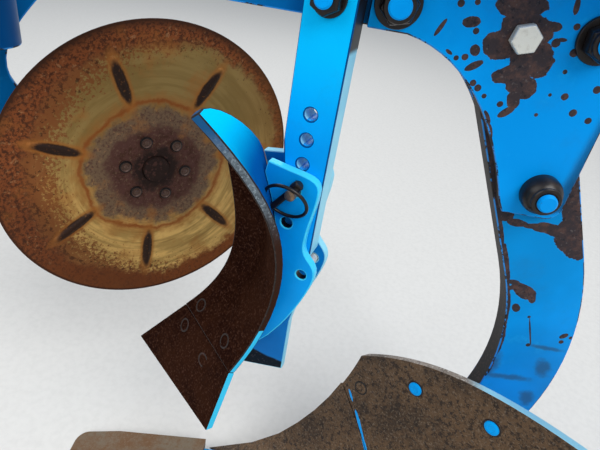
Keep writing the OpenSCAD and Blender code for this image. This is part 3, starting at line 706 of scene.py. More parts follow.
def scoured_steel(name, colours, lean, streaks, pits, gloss, metal, fringes=(),
                  shine=0.30):
    """Soil-worn steel: stains, coarse pits, freckles, and scratches that lean by degrees.
    Each fringe is a colour and a function of the finish that gives where it lies."""
    body, dark, pale = colours
    finish = Finish(name)
    flow = finish.mapped((0, 0, 0), (0, 0, math.radians(lean)), (14, 240, 240))
    scratch = finish.noise(3.2, 4, 0.65, flow)
    stain = finish.noise(14, 6, 0.66)
    freckle = finish.noise(150, 5, 0.8)
    grit = finish.noise(360, 3, 0.65)
    pit = finish.cells(330)
    hole = (1 - pit.step(0.10, 0.34)) * finish.noise(60, 3, 0.6).step(0.42, 0.56)
    colour = finish.stack(
        body, (stain.step(0.40, 0.66) * 0.85, dark),
        (scratch.step(0.56, 0.76) * streaks, pale),
        (freckle.step(0.50, 0.57) * pits, dark),
        (grit.step(0.54, 0.64) * 0.55, pale), (hole * pits, dark))
    height = (freckle * 0.5 * pits + scratch * 0.3 * streaks + grit * 0.2
              - hole * 0.8 * pits)
    for tint, where in fringes:
        colour = finish.mix(where(finish), colour, tint)
    finish.shade(
        base_color=colour, metallic=metal,
        roughness=stain * 0.25 + freckle * 0.2 + (gloss - 0.2),
        specular_ior_level=shine, normal=finish.bump(height, 0.0005, 0.9))


def plain_steel(name, body, flecks, gloss, metal, wear, scale=90):
    """Nuts, bolts and pins: one steel with flecks of rust or dirt."""
    finish = Finish(name)
    film = finish.noise(scale, 5, 0.65)
    grain = finish.noise(700, 2, 0.5)
    finish.shade(
        base_color=finish.mix(film.step(0.50, 0.72) * wear, body, flecks),
        metallic=metal,
        roughness=film * 0.3 + (gloss - 0.12),
        normal=finish.bump(film * 0.6 + grain * 0.3, 0.00025, 0.7))


def rusty_disc(name, tone):
    """Bands about the axle, from the middle out: brown-black, purple-brown rust, speckled
    grey, an orange ring, a golden scoured band with arcs, and a rim of grainy rust. Each
    rib of the disc has a dark core and orange flanks."""
    finish = Finish(name)
    turn = facing(DISC_CENTRE, DISC_OUT).to_euler()
    local = finish.mapped(DISC_CENTRE, turn)
    x, y = finish.coordinate(local, 0), finish.coordinate(local, 1)
    squares = x * x + y * y
    radius = squares.maths("SQRT", squares)
    angle = y.maths("ARCTAN2", y * -1.0, x * -1.0)

    def around(across, along, seed, detail=4):
        return finish.noise(1.0, detail, 0.65, finish.node("ShaderNodeCombineXYZ", None, {
            0: radius * across, 1: angle * along, 2: seed}))

    scratch, arc, broad = around(700, 2.2, 0.0), around(120, 0.8, 3.0), around(34, 1.3, 7.0)
    patch = finish.noise(15, 5, 0.65)
    grain = finish.noise(75, 6, 0.75)
    speck = finish.noise(230, 5, 0.72)
    fleck = finish.noise(150, 4, 0.7, finish.mapped((0.3, 0, 0)))
    near = radius + (patch - 0.5) * 0.050 + (grain - 0.5) * 0.030
    line = radius + (patch - 0.5) * 0.030 + (grain - 0.5) * 0.008
    # Painted shade: the scoured band is darker olive in the disc's upper part
    high = y.step(-0.12, 0.10)

    # The rim of rust is widest in front
    worn = radius - x * 0.055 + (patch - 0.5) * 0.045 + (grain - 0.5) * 0.030
    rim = worn.step(tone.rim_from - 0.008, tone.rim_from + 0.008)
    low = 1 - y.step(-0.165, -0.085)
    rim_tone = finish.stack(
        tone.rim_rust, (speck.step(0.45, 0.58) * 0.85, tone.rim_dark),
        (fleck.step(0.58, 0.68) * 0.45, tone.rim_tan),
        (patch.step(0.54, 0.70) * 0.4, tone.ring),
        (low * (1 - speck.step(0.50, 0.62) * 0.5) * 0.85, (0.150, 0.040, 0.008)))

    band = finish.stack(
        tone.polish, (high * 0.92, tone.polish_upper_shade),
        (broad.step(0.42, 0.60) * 0.6, tone.polish_dark),
        (arc.step(0.46, 0.64) * 0.55, tone.polish_dark),
        (scratch.step(0.60, 0.76) * 0.25, tone.polish_dark),
        (patch.step(0.50, 0.66) * 0.50, tone.ring),
        ((speck + (radius - 0.150) * 4.5 - x * 1.35).step(0.60, 0.70) * 0.85, tone.rim_rust),
        ((fleck + (radius - 0.150) * 3.0 - x * 0.4).step(0.64, 0.72) * 0.75, tone.rim_dark))
    grey = finish.stack(
        tone.grey, (speck.step(0.48, 0.60) * 0.75, tone.inner),
        (fleck.step(0.56, 0.66) * 0.4, tone.rim_tan),
        (patch.step(0.50, 0.64) * 0.55, tone.ring))
    inner_tone = finish.stack(
        tone.inner, (grain.step(0.46, 0.62) * 0.7, tone.rim_dark),
        (speck.step(0.54, 0.66) * 0.7, tone.grey))
    colour = finish.stack(
        band, (1 - near.step(tone.ring_at - 0.014, tone.ring_at + 0.002), grey),
        (near.hump(tone.ring_at + 0.004, 0.016) * 0.45, tone.ring),
        (line.hump(tone.ring_at + 0.002, 0.0055) * (0.5 + grain * 0.6), tone.ring_dark),
        (1 - near.step(0.060, 0.076), inner_tone), (rim, rim_tone))

    # Ribs: a dark core like a grain of rice with an orange glow round it
    turn_between = math.tau / DISC_RIBS
    ribs_on = (angle + FIRST_RIB) * (1 / turn_between)
    lateral = ribs_on.maths("PINGPONG", ribs_on, 0.5)
    lateral = lateral * radius * turn_between + (grain - 0.5) * 0.005
    across_rib, along_rib = lateral * (1 / 0.0080), (radius - 0.140) * (1 / 0.033)
    oval = across_rib * across_rib + along_rib * along_rib
    colour = finish.stack(
        colour, ((1 - oval.step(0.9, 2.9)) * 0.80, tone.ring),
        ((1 - oval.step(0.55, 1.25)) * (0.98 - speck.step(0.56, 0.68) * 0.4), tone.centre))

    middle = 1 - (radius + (grain - 0.5) * 0.04).step(0.028, 0.040)
    edge = radius.step(DISC_RADIUS - 0.0045, DISC_RADIUS - 0.0025)
    colour = finish.stack(
        colour, (middle * 0.95, tone.centre),
        (middle * fleck.step(0.54, 0.62) * 0.7, tone.inner), (edge * 0.85, tone.rim_dark),
        (radius.step(0.200, 0.212) * y.step(0.02, 0.15) * 0.75, tone.rim_dark),
        (((x + y) * -1.0).step(0.14, 0.24) * 0.35, tone.rim_dark),
        (x.step(0.08, 0.20) * 0.20, tone.ring))
    rusty = rim.most(1 - near.step(0.060, 0.076)).most(middle)
    height = scratch * 0.15 * (1 - rusty) + (speck * 0.5 + grain * 0.5) * rusty + fleck * 0.15
    finish.shade(
        base_color=colour, metallic=(1 - rusty) * 0.20,
        roughness=rusty * 0.30 + arc * 0.16 + 0.40, specular_ior_level=0.16,
        normal=finish.bump(height, 0.0007, 0.8))


def floor_finish(tone):
    finish = Finish("pale_floor")
    grain = finish.noise(90, 4, 0.6)
    finish.shade(
        base_color=finish.mix(grain.step(0.35, 0.75), tone, tuple(0.94 * c for c in tone)),
        roughness=0.85, normal=finish.bump(grain, 0.0006, 0.3))


# Bare and chipped places, and some painted shade and shadow, where they lie in the photograph:
# a pixel, then a half width, a half height and a lean in degrees, or one radius
PLATE_BARE_AND_SHADOW = [
    (523, 6, 27, 14, 0), (526, 30, 27, 20, 0), (502, 45, 19, 15, 0), (531, 58, 22, 22, 0),
    (514, 73, 25, 9, -15), (521, 86, 16, 13, 0), (513, 100, 7, 9, 0), (506, 112, 3.5, 10, 60),
    (473, 66, 3.5, 10, 65), (553, 27, 9, 5, 0), (556, 43, 4.5), (552, 61, 3),
    (440, 28, 2.2, 11, 37), (472, 22, 9, 5.5, -10), (476, 31, 3.2), (475, 50, 5, 6, 10),
    (465, 57, 3.5), (456, 58, 2.7), (484, 96, 2.7), (478, 88, 3.5), (473, 83, 3),
    (500, 104, 3.2), (565, 97, 4), (573, 113, 4), (588, 121, 3.2), (597, 90, 4.5),
    (577, 27, 3.5), (574, 53, 4.2), (577, 6, 3, 9, 15), (562, 40, 5, 2, 0), (565, 72, 2.7),
    (461, 3, 3.5), (478, 2, 3), (536, 115, 2), (550, 95, 1.7), (449, 52, 4, 2, 40),
    # The two thin marks at (487, 118) and (490, 131), on the plate's front edge, are painted
    # shade; the others are bare metal
    (487, 118, 3, 8, -15), (490, 131, 2.5, 8, -5)]
LEG_BARE_AND_SHADOW = [
    (577, 213, 16, 44, -3), (571, 238, 16, 20, 0), (577, 248, 10, 12, 0),
    (556, 231, 6, 20, 108), (540, 229, 3, 9, 100), (524, 291, 7, 13, 115), (532, 297, 4, 6, 0),
    (513, 282, 2.2, 7, 95), (510, 288, 2.2, 8, 85), (516, 308, 4, 4, 0),
    (530, 331, 0.9, 14, -2), (529, 317, 1.5), (528, 345, 2), (564, 336, 2, 5, 70),
    # From (485, 128) on, the chain of marks along the leg's front edge is painted shade, and
    # the last three, along the plate's lower edge, are painted shadow; the others are bare
    # metal
    (561, 342, 2), (571, 338, 2), (485, 128, 6.5, 18, -20), (490, 160, 6, 22, -10),
    (495, 193, 6, 24, -8), (499, 228, 4, 23, -8), (506, 268, 3.5, 24, -3),
    (506, 306, 4, 20, 6), (497, 345, 4.5, 20, 22), (486, 366, 6, 18, 32),
    (505, 215, 9, 6, 0), (518, 223, 4, 11, 100), (540, 226.5, 3, 20, 92)]
LEG_GRIME = [
    (545, 348, 2.5, 18, 100), (508, 377, 3.5, 24, 98), (543, 368, 9, 9, 0),
    (526, 398, 8, 8, 0), (491, 364, 8, 14, 30)]

# Others where they lie on the part, in millimetres: x, height, a half width, a half height
# and a lean
REAR_GRIME = [(-120, 150, 90, 70, 0), (-300, 190, 120, 50, 80), (-60, 260, 40, 60, 20),
              (-420, 300, 60, 60, 0)]
JOINT_PAINT = [(10, 190, 2.2, 19, -31), (-2, 168, 2.4, 13, -31), (28, 219, 1.6, 8, -31)]


def under_pixel(column, row, y):
    """Where a pixel of the photograph falls on an upright face at y: x and height."""
    ray = (VIEW_RIGHT * (column - PICTURE_WIDTH / 2) + VIEW_UP * (PICTURE_HEIGHT / 2 - row)
           - VIEW_BACK * (PICTURE_WIDTH * LENS / SENSOR))
    place = CAMERA_PLACE + ray * ((y * MM - CAMERA_PLACE.y) / ray.y)
    return Vector((place.x, place.z - SHARE_POINT_Z)) / MM


def on_face(y, spots):
    """Lays spots that were drawn over the photograph on an upright face at y."""
    laid = []
    for column, row, half_w, *oval in spots:
        middle = under_pixel(column, row, y)
        across = under_pixel(column + 1, row, y) - middle
        down = under_pixel(column, row + 1, y) - middle
        if not oval:
            laid.append((*middle, half_w * math.sqrt(abs(across.cross(down)))))
            continue
        half_h, lean = oval[0], math.radians(oval[1])
        first = (across * math.cos(lean) + down * math.sin(lean)) * half_w
        second = (across * math.sin(lean) - down * math.cos(lean)) * half_h
        # Foreshortening leaves these two askew, so the ellipse's own axes are worked out
        wide, high = Vector((first.x, second.x)), Vector((first.y, second.y))
        mean = (wide.length_squared + high.length_squared) / 2
        gap, slant = wide.length_squared - mean, wide.dot(high)
        swing = math.hypot(gap, slant)
        laid.append((*middle, math.sqrt(mean - swing), math.sqrt(mean + swing),
                     math.degrees(math.atan2(slant, gap)) / 2 - 90))
    return laid


def tones(group, **changes):
    """The colours and sizes of a group, with some of them changed."""
    found = {name: getattr(group, name) for name in type(group).__annotations__}
    found = {name: tuple(value) if hasattr(value, "__len__") else value
             for name, value in found.items()}
    return SimpleNamespace(**{**found, **changes})


def above(axis, low, high):
    """A fringe that comes in along an axis, in metres from low to high."""
    return lambda finish: finish.coordinate(finish.place, axis).step(low, high)


def below(axis, low, high):
    """A fringe that fades out along an axis."""
    return lambda finish: 1 - finish.coordinate(finish.place, axis).step(low, high)


def on_joint(finish):
    return blotches(finish, JOINT_PAINT, 0.55, 90).step(0.49, 0.51)


def finishes(scene):
    """Makes each material once."""
    enamel = scene.plough_paint
    paints, steel, disc = map(tones, (enamel, scene.plough_steel, scene.plough_disc))
    # Painted highlight: a pale cyan blue for the near cheek's rims and edges and the
    # right-hand rims of the skimmer's boards
    rim = tones(enamel, blue=(0.050, 0.60, 0.90), deep=(0.015, 0.46, 0.84),
                pale=(0.25, 0.74, 0.90))
    # Painted highlight: a paler blue for the stalk's rear faces and the far cheek's rims and
    # edges
    stalk_rim = tones(enamel, blue=(0.27, 0.66, 0.82), deep=(0.12, 0.50, 0.76),
                      pale=(0.55, 0.78, 0.84))
    # Painted shade: a darker copy of the blue paint for the far cheek, whose near-black bare
    # colour paints the shadow at its bottom
    far = tones(enamel, blue=(0.001, 0.20, 0.60), deep=(0.001, 0.12, 0.42),
                bare=(0.006, 0.005, 0.006), rust=(0.010, 0.008, 0.008))
    # Painted shade: a navy copy of the blue paint for the coulter's head, collar and clamp,
    # also laid on the stalk's edges
    shaded = tones(enamel, blue=(0.001, 0.060, 0.22), deep=paints.navy)
    # Painted shade: a darker copy of the blue paint for the leg
    leg = tones(enamel, blue=(0.001, 0.275, 0.70), deep=(0.001, 0.190, 0.48))
    # Painted shade: a darker copy of the blue paint for the coulter's arm and the carrier bar
    arm = tones(enamel, blue=(0.001, 0.120, 0.36), deep=(0.001, 0.060, 0.20))
    # Painted shade and painted highlight: navy for the back of the skimmer's mouldboard,
    # turning bright cyan towards its top
    back = tones(enamel, blue=(0.001, 0.090, 0.33), deep=(0.001, 0.070, 0.26))
    paint("plate_paint", paints, -0.02, on_face(PLATE_FACE_Y, PLATE_BARE_AND_SHADOW))
    paint("leg_paint", leg, -0.01, on_face(LEG_FACE_Y, LEG_BARE_AND_SHADOW),
          on_face(LEG_FACE_Y, LEG_GRIME))
    paint("arm_paint", arm, 0.0)
    paint("rear_paint", paints, 0.03, grime=REAR_GRIME)
    paint("board_back", back, -0.02, painted_light_fade=(582, 640, (0.001, 0.60, 0.98)), shine=0.0)
    paint("frame_paint", paints, -0.03)
    # Painted highlight: the stalk's paint turns lighter towards its top
    paint("stalk_paint", paints, -0.03, painted_light_fade=(600, 700, (0.001, 0.48, 0.93)))
    paint("head_paint", shaded, 0.01)
    paint("rim_paint", rim, -0.03)
    # Painted shade: the stalk's rear faces turn black above 686 to 692 mm
    paint("stalk_rim", stalk_rim, -0.03, painted_light_fade=(686, 692, steel.black))
    # Painted shadow: the far cheek turns near-black below 302 mm
    paint("far_paint", far, -0.03, shadow_below=302)
    paint("stud_paint", paints, 0.03)
    cut_edge("edge_paint", paints, steel.black, 0.47)
    cut_edge("dark_cut", paints, steel.black, 0.66)

    board = (steel.board, steel.board_dark, steel.board_pale)
    point = (steel.point, steel.point_dark, steel.board_pale)
    # Partly painted shade: the skimmer's dark steel is darkened further for the shade it lies
    # in
    skimmer = (steel.skimmer, steel.skimmer_rust, steel.skimmer_pale)
    # Painted highlight: blue-grey on the rim of the skimmer's mouldboard, darker low down and
    # navy at its top
    skimmer_rim = ((0.130, 0.165, 0.190), (0.040, 0.050, 0.060), (0.30, 0.36, 0.40))
    # Painted highlight: pale grey on the mouldboard's rim, and pale blue towards the rear
    board_rim_highlight = ((0.26, 0.22, 0.19), (0.10, 0.08, 0.065), (0.48, 0.46, 0.43))
    for name, colours, lean, streaks, pits, gloss, metal, shine, fringes in (
            ("board_steel", board, -48, 0.40, 0.90, 0.50, 0.20, 0.30,
             [(paints.blue, on_joint)]),
            ("share_steel", board, -36, 0.5, 0.7, 0.48, 0.30, 0.30, ()),
            ("point_steel", point, -8, 0.5, 0.5, 0.46, 0.30, 0.30, ()),
            ("skimmer_steel", skimmer, -60, 0.30, 0.6, 0.60, 0.0, 0.01, ()),
            ("skimmer_rim", skimmer_rim, -60, 0.30, 0.6, 0.55, 0.0, 0.15,
             [(steel.skimmer_rust, below(2, -0.305, -0.250)),
              ((0.004, 0.075, 0.20), above(2, -0.215, -0.185))]),
            ("rim_steel", board_rim_highlight, -48, 0.3, 0.6, 0.45, 0.4, 0.30,
             [((0.22, 0.48, 0.62), below(0, -0.100, -0.075))])):
        scoured_steel(name, colours, lean, streaks, pits, gloss, metal, fringes, shine)

    for name, body, flecks, gloss, metal, wear, scale in (
            ("black_steel", steel.black, (0.030, 0.018, 0.013), 0.30, 0.35, 0.6, 90),
            ("bronze_steel", steel.bronze, steel.skimmer_pale, 0.34, 0.7, 0.6, 240),
            ("zinc_steel", steel.zinc, (0.34, 0.31, 0.26), 0.38, 0.35, 0.35, 240),
            ("rivet_steel", (0.095, 0.050, 0.034), disc.centre, 0.36, 0.3, 0.6, 300),
            ("dark_rust", disc.centre, disc.inner, 0.72, 0.10, 0.7, 120)):
        plain_steel(name, body, flecks, gloss, metal, wear, scale)
    rusty_disc("rusty_disc", disc)


class PLOUGH_OT_finishes(bpy.types.Operator):
    """Makes the paint and steel materials"""
    bl_idname = "plough.finishes"
    bl_label = "Finishes"

    def execute(self, context):
        finishes(context.scene)
        return {"FINISHED"}


class PLOUGH_OT_stage(bpy.types.Operator):
    """Adds the pale floor, the soft lights and the camera"""
    bl_idname = "plough.stage"
    bl_label = "Stage"

    def execute(self, context):
        sizes = context.scene.plough_stage
        nothing_selected()
        bpy.ops.mesh.primitive_plane_add(size=14, location=(0, 0, SHARE_POINT_Z))
        floor = context.active_object
        floor.name = "floor"
        bpy.ops.object.transform_apply(location=True)
        floor_finish(tuple(sizes.floor))
        dressed(floor, "pale_floor")

        middle = Vector((0.1, 0, -0.35))
        for name, place, power, size in (
                ("key_light", (-1.3, 1.7, 2.3), sizes.key, 2.2),
                ("fill_light", (2.4, 1.2, 1.6), sizes.fill, 2.4),
                ("back_light", (0.6, -2.6, 1.8), sizes.fill, 2.2)):
            data = bpy.data.lights.new(name, "AREA")
            data.energy = power
            data.size = size
            light = bpy.data.objects.new(name, data)
            light.location = place
            light.rotation_euler = (
                middle - Vector(place)).to_track_quat("-Z", "Y").to_euler()
            context.scene.collection.objects.link(light)
        world = bpy.data.worlds.new("studio")
        context.scene.world = world
        world.use_nodes = True
        sky = world.node_tree.nodes["Background"].inputs
        sky["Color"].default_value = (0.86, 0.92, 1.0, 1)
        sky["Strength"].default_value = sizes.sky

        lens = bpy.data.cameras.new("view")
        lens.lens = sizes.lens
        lens.sensor_width = SENSOR
        lens.clip_start = 0.01
        camera = bpy.data.objects.new("view", lens)
        axes = Matrix((VIEW_RIGHT, VIEW_UP, VIEW_BACK)).transposed().to_4x4()
        camera.matrix_world = Matrix.Translation(CAMERA_PLACE) @ axes
        context.scene.collection.objects.link(camera)
        context.scene.camera = camera
        context.scene.view_settings.view_transform = "Standard"
        return {"FINISHED"}


class PLOUGH_OT_bracket(bpy.types.Operator):
    """Finishes the flange, the bracket plates, the web, the leg and the carrier bar"""
    bl_idname = "plough.bracket"
    bl_label = "Bracket and leg"

    def execute(self, context):
        width = context.scene.plough_edges.plate
        for node, material, wanted in (
                ("head_flange", "frame_paint", None),
                ("bracket_plate_near", "plate_paint", cut_face),
                ("bracket_plate_far", "plate_paint", cut_face),
                ("bracket_web", "frame_paint", cut_face),
                ("leg", "leg_paint", shaded_front_cut_face), ("carrier_bar", "arm_paint", None)):
            softened(node, "blue_paint", width, material, "edge_paint",
                     cut=[("dark_cut", wanted)] if wanted else ())
        return {"FINISHED"}


def on_both_faces(parts, places, name, node):
    """Joins parts to a bolt's end and puts copies of it on both faces of the bracket,
    each place an x, a height and a turn."""
    model = joined(parts, "model")
    copies = []
    for x, h, turn in places:
        for side in (1, -1):
            at = facing(spot(x, side * PLATE_FACE_Y, h), (0, side, 0))
            copies.append(copied(model, at @ Matrix.Rotation(turn * side, 4, "Z")))
    bpy.data.objects.remove(model)
    finished(joined(copies, name), "dark_steel", node)


class PLOUGH_OT_bracket_bolts(bpy.types.Operator):
    """Dresses the bolts of the bracket: nuts, washers, stud ends and the domed nuts"""
    bl_idname = "plough.bracket_bolts"
    bl_label = "Bracket bolts"

    def execute(self, context):
        black, blue, zinc = "black_steel", "stud_paint", "zinc_steel"
        on_both_faces([
            washer(39, 4, black),
            hexagon([(15.0, 4), (16.0, 5), (16.0, 14.5), (14.6, 17)], black, 0.0008),
            turned([(13.2, 16.5), (13.2, 18.6), (12.4, 19.6)], black, 40, 50),
            stud_end(19.4, 22, 14, blue), turned([(10, -27), (10, 4.2)], black)],
            BRACKET_BOLTS, "bracket_bolts_finished", "bracket_bolts")
        on_both_faces([
            turned([
                (19.0, 0), (19.0, 5.5), (18.6, 8), (17.4, 11.5), (15.2, 14.8),
                (13.4, 16.4), (12.6, 16.9), (12.6, 17.6), (13.8, 18.0), (13.8, 19.6),
                (13.0, 20.6), (10.2, 20.9), (9.6, 20.2)], black, 48, 38),
            stud_end(17.5, 25.6, 18, blue), turned([(12, -27), (12, 1)], black)],
            PIVOT_BOLTS, "pivot_bolt_finished", "pivot_bolt")

        # Shear bolt: pale hexagon head near, nut and thread far
        x, h = SHEAR_BOLT
        near, far = (facing(spot(x, side * PLATE_FACE_Y, h), (0, side, 0))
                     for side in (1, -1))
        head = hexagon([(12.0, 0), (12.7, 0.6), (12.7, 7.4), (11.6, 9)], zinc, 0.0006,
                       math.pi / 6 + 0.3)
        nut = hexagon([(12.1017, 0), (12.7017, 0.6), (12.7017, 7.8), (11.5017, 9)], zinc,
                      0.0006)
        thread = stud_end(14, 16, 8, zinc, 1.8)
        shank = turned([(7, -2 * PLATE_FACE_Y), (7, 0.4)], zinc)
        finished(joined([
            placed(head, near), placed(nut, far), placed(thread, far),
            placed(shank, near)], "shear_bolt_finished"), "zinc_steel", "shear_bolt")
        return {"FINISHED"}


class PLOUGH_OT_skimmer_frame(bpy.types.Operator):
    """Finishes the skimmer's stalk, wedge, cheeks, stalk bolts and setting screw"""
    bl_idname = "plough.skimmer_frame"
    bl_label = "Skimmer frame"

    def execute(self, context):
        width, bolt = context.scene.plough_edges.plate, context.scene.plough_edges.bolt
        black = "black_steel"
        # Painted highlight and painted shade: the stalk lighter towards its top and its rear
        # faces pale blue, black at the top, with navy on its edges
        softened("skimmer_stalk", "blue_paint", width, "stalk_paint", "head_paint",
                 cut=[("stalk_rim", lambda face: face.normal.dot(STALK_BACK) > 0.5)])
        # The cheeks' rims and edges take pale paints, a painted highlight, and the faces of
        # their holes stay black: painted shade
        softened("skimmer_cheek_near", "blue_paint", width, "frame_paint", "rim_paint",
                 cut=[(black, stalk_cut_face), ("rim_paint", cheek_rim)],
                 shaped=lambda piece: corner_carried(
                     piece, CHEEK_CORNER, CHEEK_CORNER_AT_BOARD))
        softened("skimmer_cheek_far", "blue_paint", width, "far_paint", "stalk_rim",
                 cut=[(black, stalk_cut_face), ("stalk_rim", cheek_rim)])
        # Painted shade: the wedge, which lies in shade by the stalk's top, is black
        softened("skimmer_wedge", "blue_paint", width, black)
        softened("adjust_screw", "dark_steel", bolt, "zinc_steel")

        parts = []
        for h in STALK_BOLT_HEIGHTS:
            at = facing(on_stalk(1, STALK_HALF, h), STALK_OUT)
            nut = [(12.4, 3), (13.4, 4), (13.4, 12), (12.2, 14)]
            parts += [placed(part, at) for part in (
                washer(30, 3, black), hexagon(nut, black, 0.0007, 0),
                stud_end(15, 18, 12, "stud_paint"),
                turned([(5.4, -25), (5.4, 13)], black, 24))]
        finished(joined(parts, "skimmer_bolts_finished"), "dark_steel", "skimmer_bolts")
        return {"FINISHED"}


class PLOUGH_OT_lynch_pin(bpy.types.Operator):
    """Adds the pin with its head and its spring ring"""
    bl_idname = "plough.lynch_pin"
    bl_label = "Lynch pin"

    def execute(self, context):
        pin = turned([
            (7.0, -34.5), (8.4, -33.6), (8.8, -31.0), (8.8, -24.4), (8.2, -23.4),
            (5.4, -23.2), (5.4, 33.6), (5.0, 35.0), (3.6, 35.9), (1.6, 36.3)],
            "bronze_steel", smooth=35)
        ahead, height = CHEEK_HOLES[0]
        placed(pin, facing(on_stalk(ahead, 0, height), STALK_OUT))
        finished(pin, "zinc_steel", "skimmer_pin")
        pin.name = "skimmer_pin_finished"

        # Spring ring: a wire circle that leans out at its top
        nothing_selected()
        bpy.ops.mesh.primitive_torus_add(
            major_segments=80, minor_segments=14, major_radius=PIN_RING * MM,
            minor_radius=PIN_RING_WIRE * MM)
        ring = context.active_object
        with editing(ring):
            bpy.ops.transform.resize(value=(1.0, 0.96, 1.0))
        smooth_by_angle(ring, 60)
        dressed(ring, "black_steel")
        placed(ring, facing(
            on_stalk(4.4, 33.3, 552.9),
            STALK_OUT * math.cos(PIN_RING_LEAN) - UP * math.sin(PIN_RING_LEAN)))

        # Its shank goes through the pin, from the ring's lower front to its upper rear
        low, high = on_stalk(20.0, 30, 538.6), on_stalk(-4.0, 30, 570.6)
        shank = turned([
            (2.2, -1.5), (3.2, 0.5), (3.2, 33), (5.2, 34), (5.4, 35.5), (5.2, 41.5),
            (3.6, 43.4)], "black_steel", 24)
        placed(shank, facing(low, high - low))
        finished(joined([ring, shank], "pin_ring_finished"), "dark_steel", "pin_ring")
        return {"FINISHED"}


class PLOUGH_OT_skimmer_boards(bpy.types.Operator):
    """Finishes the skimmer's mouldboard and share and adds their bolts"""
    bl_idname = "plough.skimmer_boards"
    bl_label = "Skimmer boards"

    def execute(self, context):
        width = context.scene.plough_edges.sheet
        size, rise = context.scene.plough_fasteners.skimmer_bolt / MM, 0.9
        behind, paint_top = 0.012, SHARE_POINT_Z + 0.400

        # Rim faces toward the view's right and below, which take the pale cyan paint: painted
        # highlight
        def highlight_rim_face(face):
            return (face.normal.dot(VIEW_RIGHT) > 0.2 and face.normal.dot(VIEW_UP) < 0.05
                    and face.center.z < paint_top)

        boards = {}
        for node, material, edge, back, front in (
                ("skimmer_mouldboard", "skimmer_rim", "dark_cut", "board_back",
                 SKIMMER_BOARD_BOLTS[1]),
                ("skimmer_share", "skimmer_steel", None, "frame_paint",
                 SKIMMER_SHARE_FACE)):
            boards[node] = softened(
                node, "dark_steel", width, material, edge, 40,
                cut=[("rim_paint", highlight_rim_face)],
                sides=[(spot(*front), 0, "skimmer_steel"), (spot(*front), behind, back)])
        for node, places in (("skimmer_share", SKIMMER_SHARE_BOLTS),
                             ("skimmer_mouldboard", SKIMMER_BOARD_BOLTS)):
            heads = [plough_bolt(boards[node], spot(*at), size, rise, "skimmer_steel",
                                 "dark_rust") for at in places]
            finished(joined(heads, node + "_bolts"), "dark_steel")
        return {"FINISHED"}


class PLOUGH_OT_disc(bpy.types.Operator):
    """Finishes the coulter's disc, hub, rivets and axle"""
    bl_idname = "plough.disc"
    bl_label = "Coulter disc"

    def execute(self, context):
        casting, thin = context.scene.plough_edges.casting, 0.0006
        softened("disc_blade", "rusty_disc", thin, "rusty_disc", None, 35, body="disc")
        softened("disc_hub", "dark_steel", casting, "rusty_disc", body="disc")
        softened("disc_axle", "zinc_steel", casting, "dark_rust", body="coulter")

        heads = []
        across = DISC_OUT.cross(UP)
        for i in range(RIVETS):
            angle = i * math.tau / RIVETS + FIRST_RIVET
            place = DISC_CENTRE + RIVET_CIRCLE * (
                across * math.cos(angle) - UP * math.sin(angle))
            head = turned([
                (5, -14), (8.5, -13.9), (8.5, -8.4), (5, -8.2), (5, 0), (9.0, 0),
                (9.4, 1.2), (8.6, 2.8), (7.2, 3.0), (5.8, 1.5), (3.8, 1.3), (3.0, 2.6),
                (1.2, 3.2)], "black_steel", 28)
            # Painted shadow: the outer ring of each rivet is black, its cap rusty brown
            given_slot(head, added_slot(head, "rivet_steel"),
                       lambda face: face.center.xy.length < RIVET_SHADOW_RING_FROM)
            heads.append(placed(head, facing(place, DISC_OUT)))
        finished(joined(heads, "disc_rivets_finished"), "rusty_disc", "disc_rivets",
                 body="disc")
        return {"FINISHED"}


class PLOUGH_OT_coulter_frame(bpy.types.Operator):
    """Finishes the coulter's arm, head, stem, collar and clamp"""
    bl_idname = "plough.coulter_frame"
    bl_label = "Coulter frame"

    def execute(self, context):
        edges = context.scene.plough_edges
        # Painted shade: the arm and the head parts take darker copies of the blue paint
        for node, body, finish in (
                ("disc_arm", "coulter", "arm_paint"), ("swivel_head", "coulter", "head_paint"),
                ("stem_collar", "root", "head_paint"), ("stem_clamp", "root", "head_paint"),
                ("clamp_strap", "root", "head_paint")):
            softened(node, "blue_paint", edges.casting, finish, "edge_paint", body=body)
        softened("coulter_stem", "zinc_steel", edges.casting, "zinc_steel")
        softened("clamp_bolts", "dark_steel", edges.bolt, "black_steel")
        return {"FINISHED"}


class PLOUGH_OT_welds(bpy.types.Operator):
    """Adds the weld beads between the bracket plates and the flange"""
    bl_idname = "plough.welds"
    bl_label = "Weld beads"

    def execute(self, context):
        width = context.scene.plough_fasteners.weld
        under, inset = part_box("head_flange")[0].z, 0.008
        beads = []
        for node, side in (("bracket_plate_near", 1), ("bracket_plate_far", -1)):
            low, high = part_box(node)
            y = side * PLATE_FACE_Y * MM
            beads.append(weld_bead(Vector((low.x + inset, y, under)),
                                   Vector((high.x - inset, y, under)), width))
        finished(joined(beads, "bracket_welds"), "blue_paint")
        return {"FINISHED"}


class PLOUGH_OT_plough_body(bpy.types.Operator):
    """Finishes the mouldboard, shin, share, point, landside and frog"""
    bl_idname = "plough.plough_body"
    bl_label = "Plough body"

    def execute(self, context):
        edges = context.scene.plough_edges
        front, behind = spot(*MOULDBOARD_FACE), 0.014
        # The mouldboard's rim takes the pale rim finish: painted highlight
        softened("mouldboard", "worn_steel", edges.sheet, "rim_steel", None, 40,
                 sides=[(front, 0, "board_steel"), (front, behind, "rear_paint")])
        # A rounded edge would reach below the point's own acute one
        for node, material, width in (
                ("shin_piece", "board_steel", edges.sheet),
                ("share", "share_steel", edges.sheet), ("share_point", "point_steel", 0),
                ("landside", "share_steel", edges.sheet)):
            softened(node, "worn_steel", width, material, None, 40)
        for node in ("frog_web", "frog_foot", "frog_nose", "board_stay"):
            softened(node, "blue_paint", edges.casting, "frame_paint", "edge_paint")
        return {"FINISHED"}


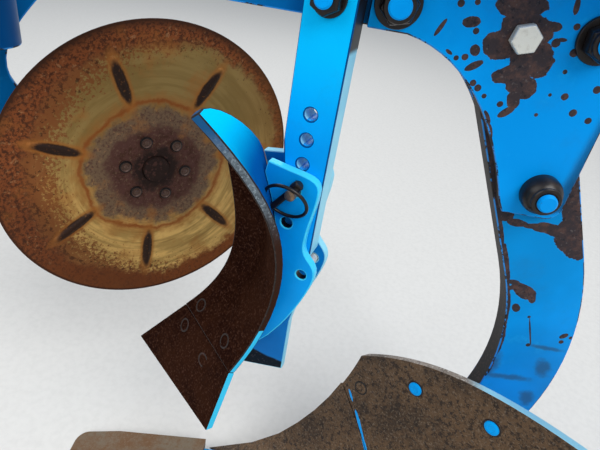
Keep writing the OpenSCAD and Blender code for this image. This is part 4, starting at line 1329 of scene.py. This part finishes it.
class PLOUGH_OT_plough_bolts(bpy.types.Operator):
    """Adds the plough bolts of the mouldboard"""
    bl_idname = "plough.plough_bolts"
    bl_label = "Plough bolts"

    def execute(self, context):
        sizes = context.scene.plough_fasteners
        size, rise = sizes.plough_bolt / MM, sizes.plough_bolt_rise / MM
        board = bpy.data.objects["mouldboard_finished"]
        painted = [plough_bolt(board, spot(*at), size, rise, "stud_paint")
                   for at in PAINTED_BOLTS]
        finished(joined(painted, "painted_plough_bolts"), "blue_paint")
        bare = plough_bolt(board, spot(*MOULDBOARD_FACE), size * 0.9, rise * 0.4,
                           "board_steel")
        finished(joined([bare], "bare_plough_bolts"), "worn_steel")
        return {"FINISHED"}


STEPS = (
    PLOUGH_OT_stage, PLOUGH_OT_finishes, PLOUGH_OT_bracket, PLOUGH_OT_bracket_bolts,
    PLOUGH_OT_skimmer_frame, PLOUGH_OT_lynch_pin, PLOUGH_OT_skimmer_boards,
    PLOUGH_OT_disc, PLOUGH_OT_coulter_frame, PLOUGH_OT_welds, PLOUGH_OT_plough_body,
    PLOUGH_OT_plough_bolts)

GROUPS = {
    "plough_paint": PLOUGH_PG_paint, "plough_steel": PLOUGH_PG_steel,
    "plough_disc": PLOUGH_PG_disc, "plough_edges": PLOUGH_PG_edges,
    "plough_fasteners": PLOUGH_PG_fasteners, "plough_stage": PLOUGH_PG_stage}


class PLOUGH_PT_finish(bpy.types.Panel):
    """Lists the sizes, the colours and the steps"""
    bl_idname = "PLOUGH_PT_finish"
    bl_label = "Furrow unit"
    bl_space_type = "VIEW_3D"
    bl_region_type = "UI"
    bl_category = "Plough"

    def draw(self, context):
        for step in STEPS:
            self.layout.operator(step.bl_idname)
        for name, group in GROUPS.items():
            box = self.layout.box()
            for size in group.__annotations__:
                box.prop(getattr(context.scene, name), size)


def register():
    for group in (*GROUPS.values(), *STEPS, PLOUGH_PT_finish):
        bpy.utils.register_class(group)
    for name, group in GROUPS.items():
        setattr(bpy.types.Scene, name, bpy.props.PointerProperty(type=group))


def unregister():
    for name in GROUPS:
        delattr(bpy.types.Scene, name)
    for group in (PLOUGH_PT_finish, *reversed(STEPS), *reversed(GROUPS.values())):
        bpy.utils.unregister_class(group)


def main():
    register()
    for step in STEPS:
        family, name = step.bl_idname.split(".")
        getattr(getattr(bpy.ops, family), name)()


if __name__ == "__main__":
    main()
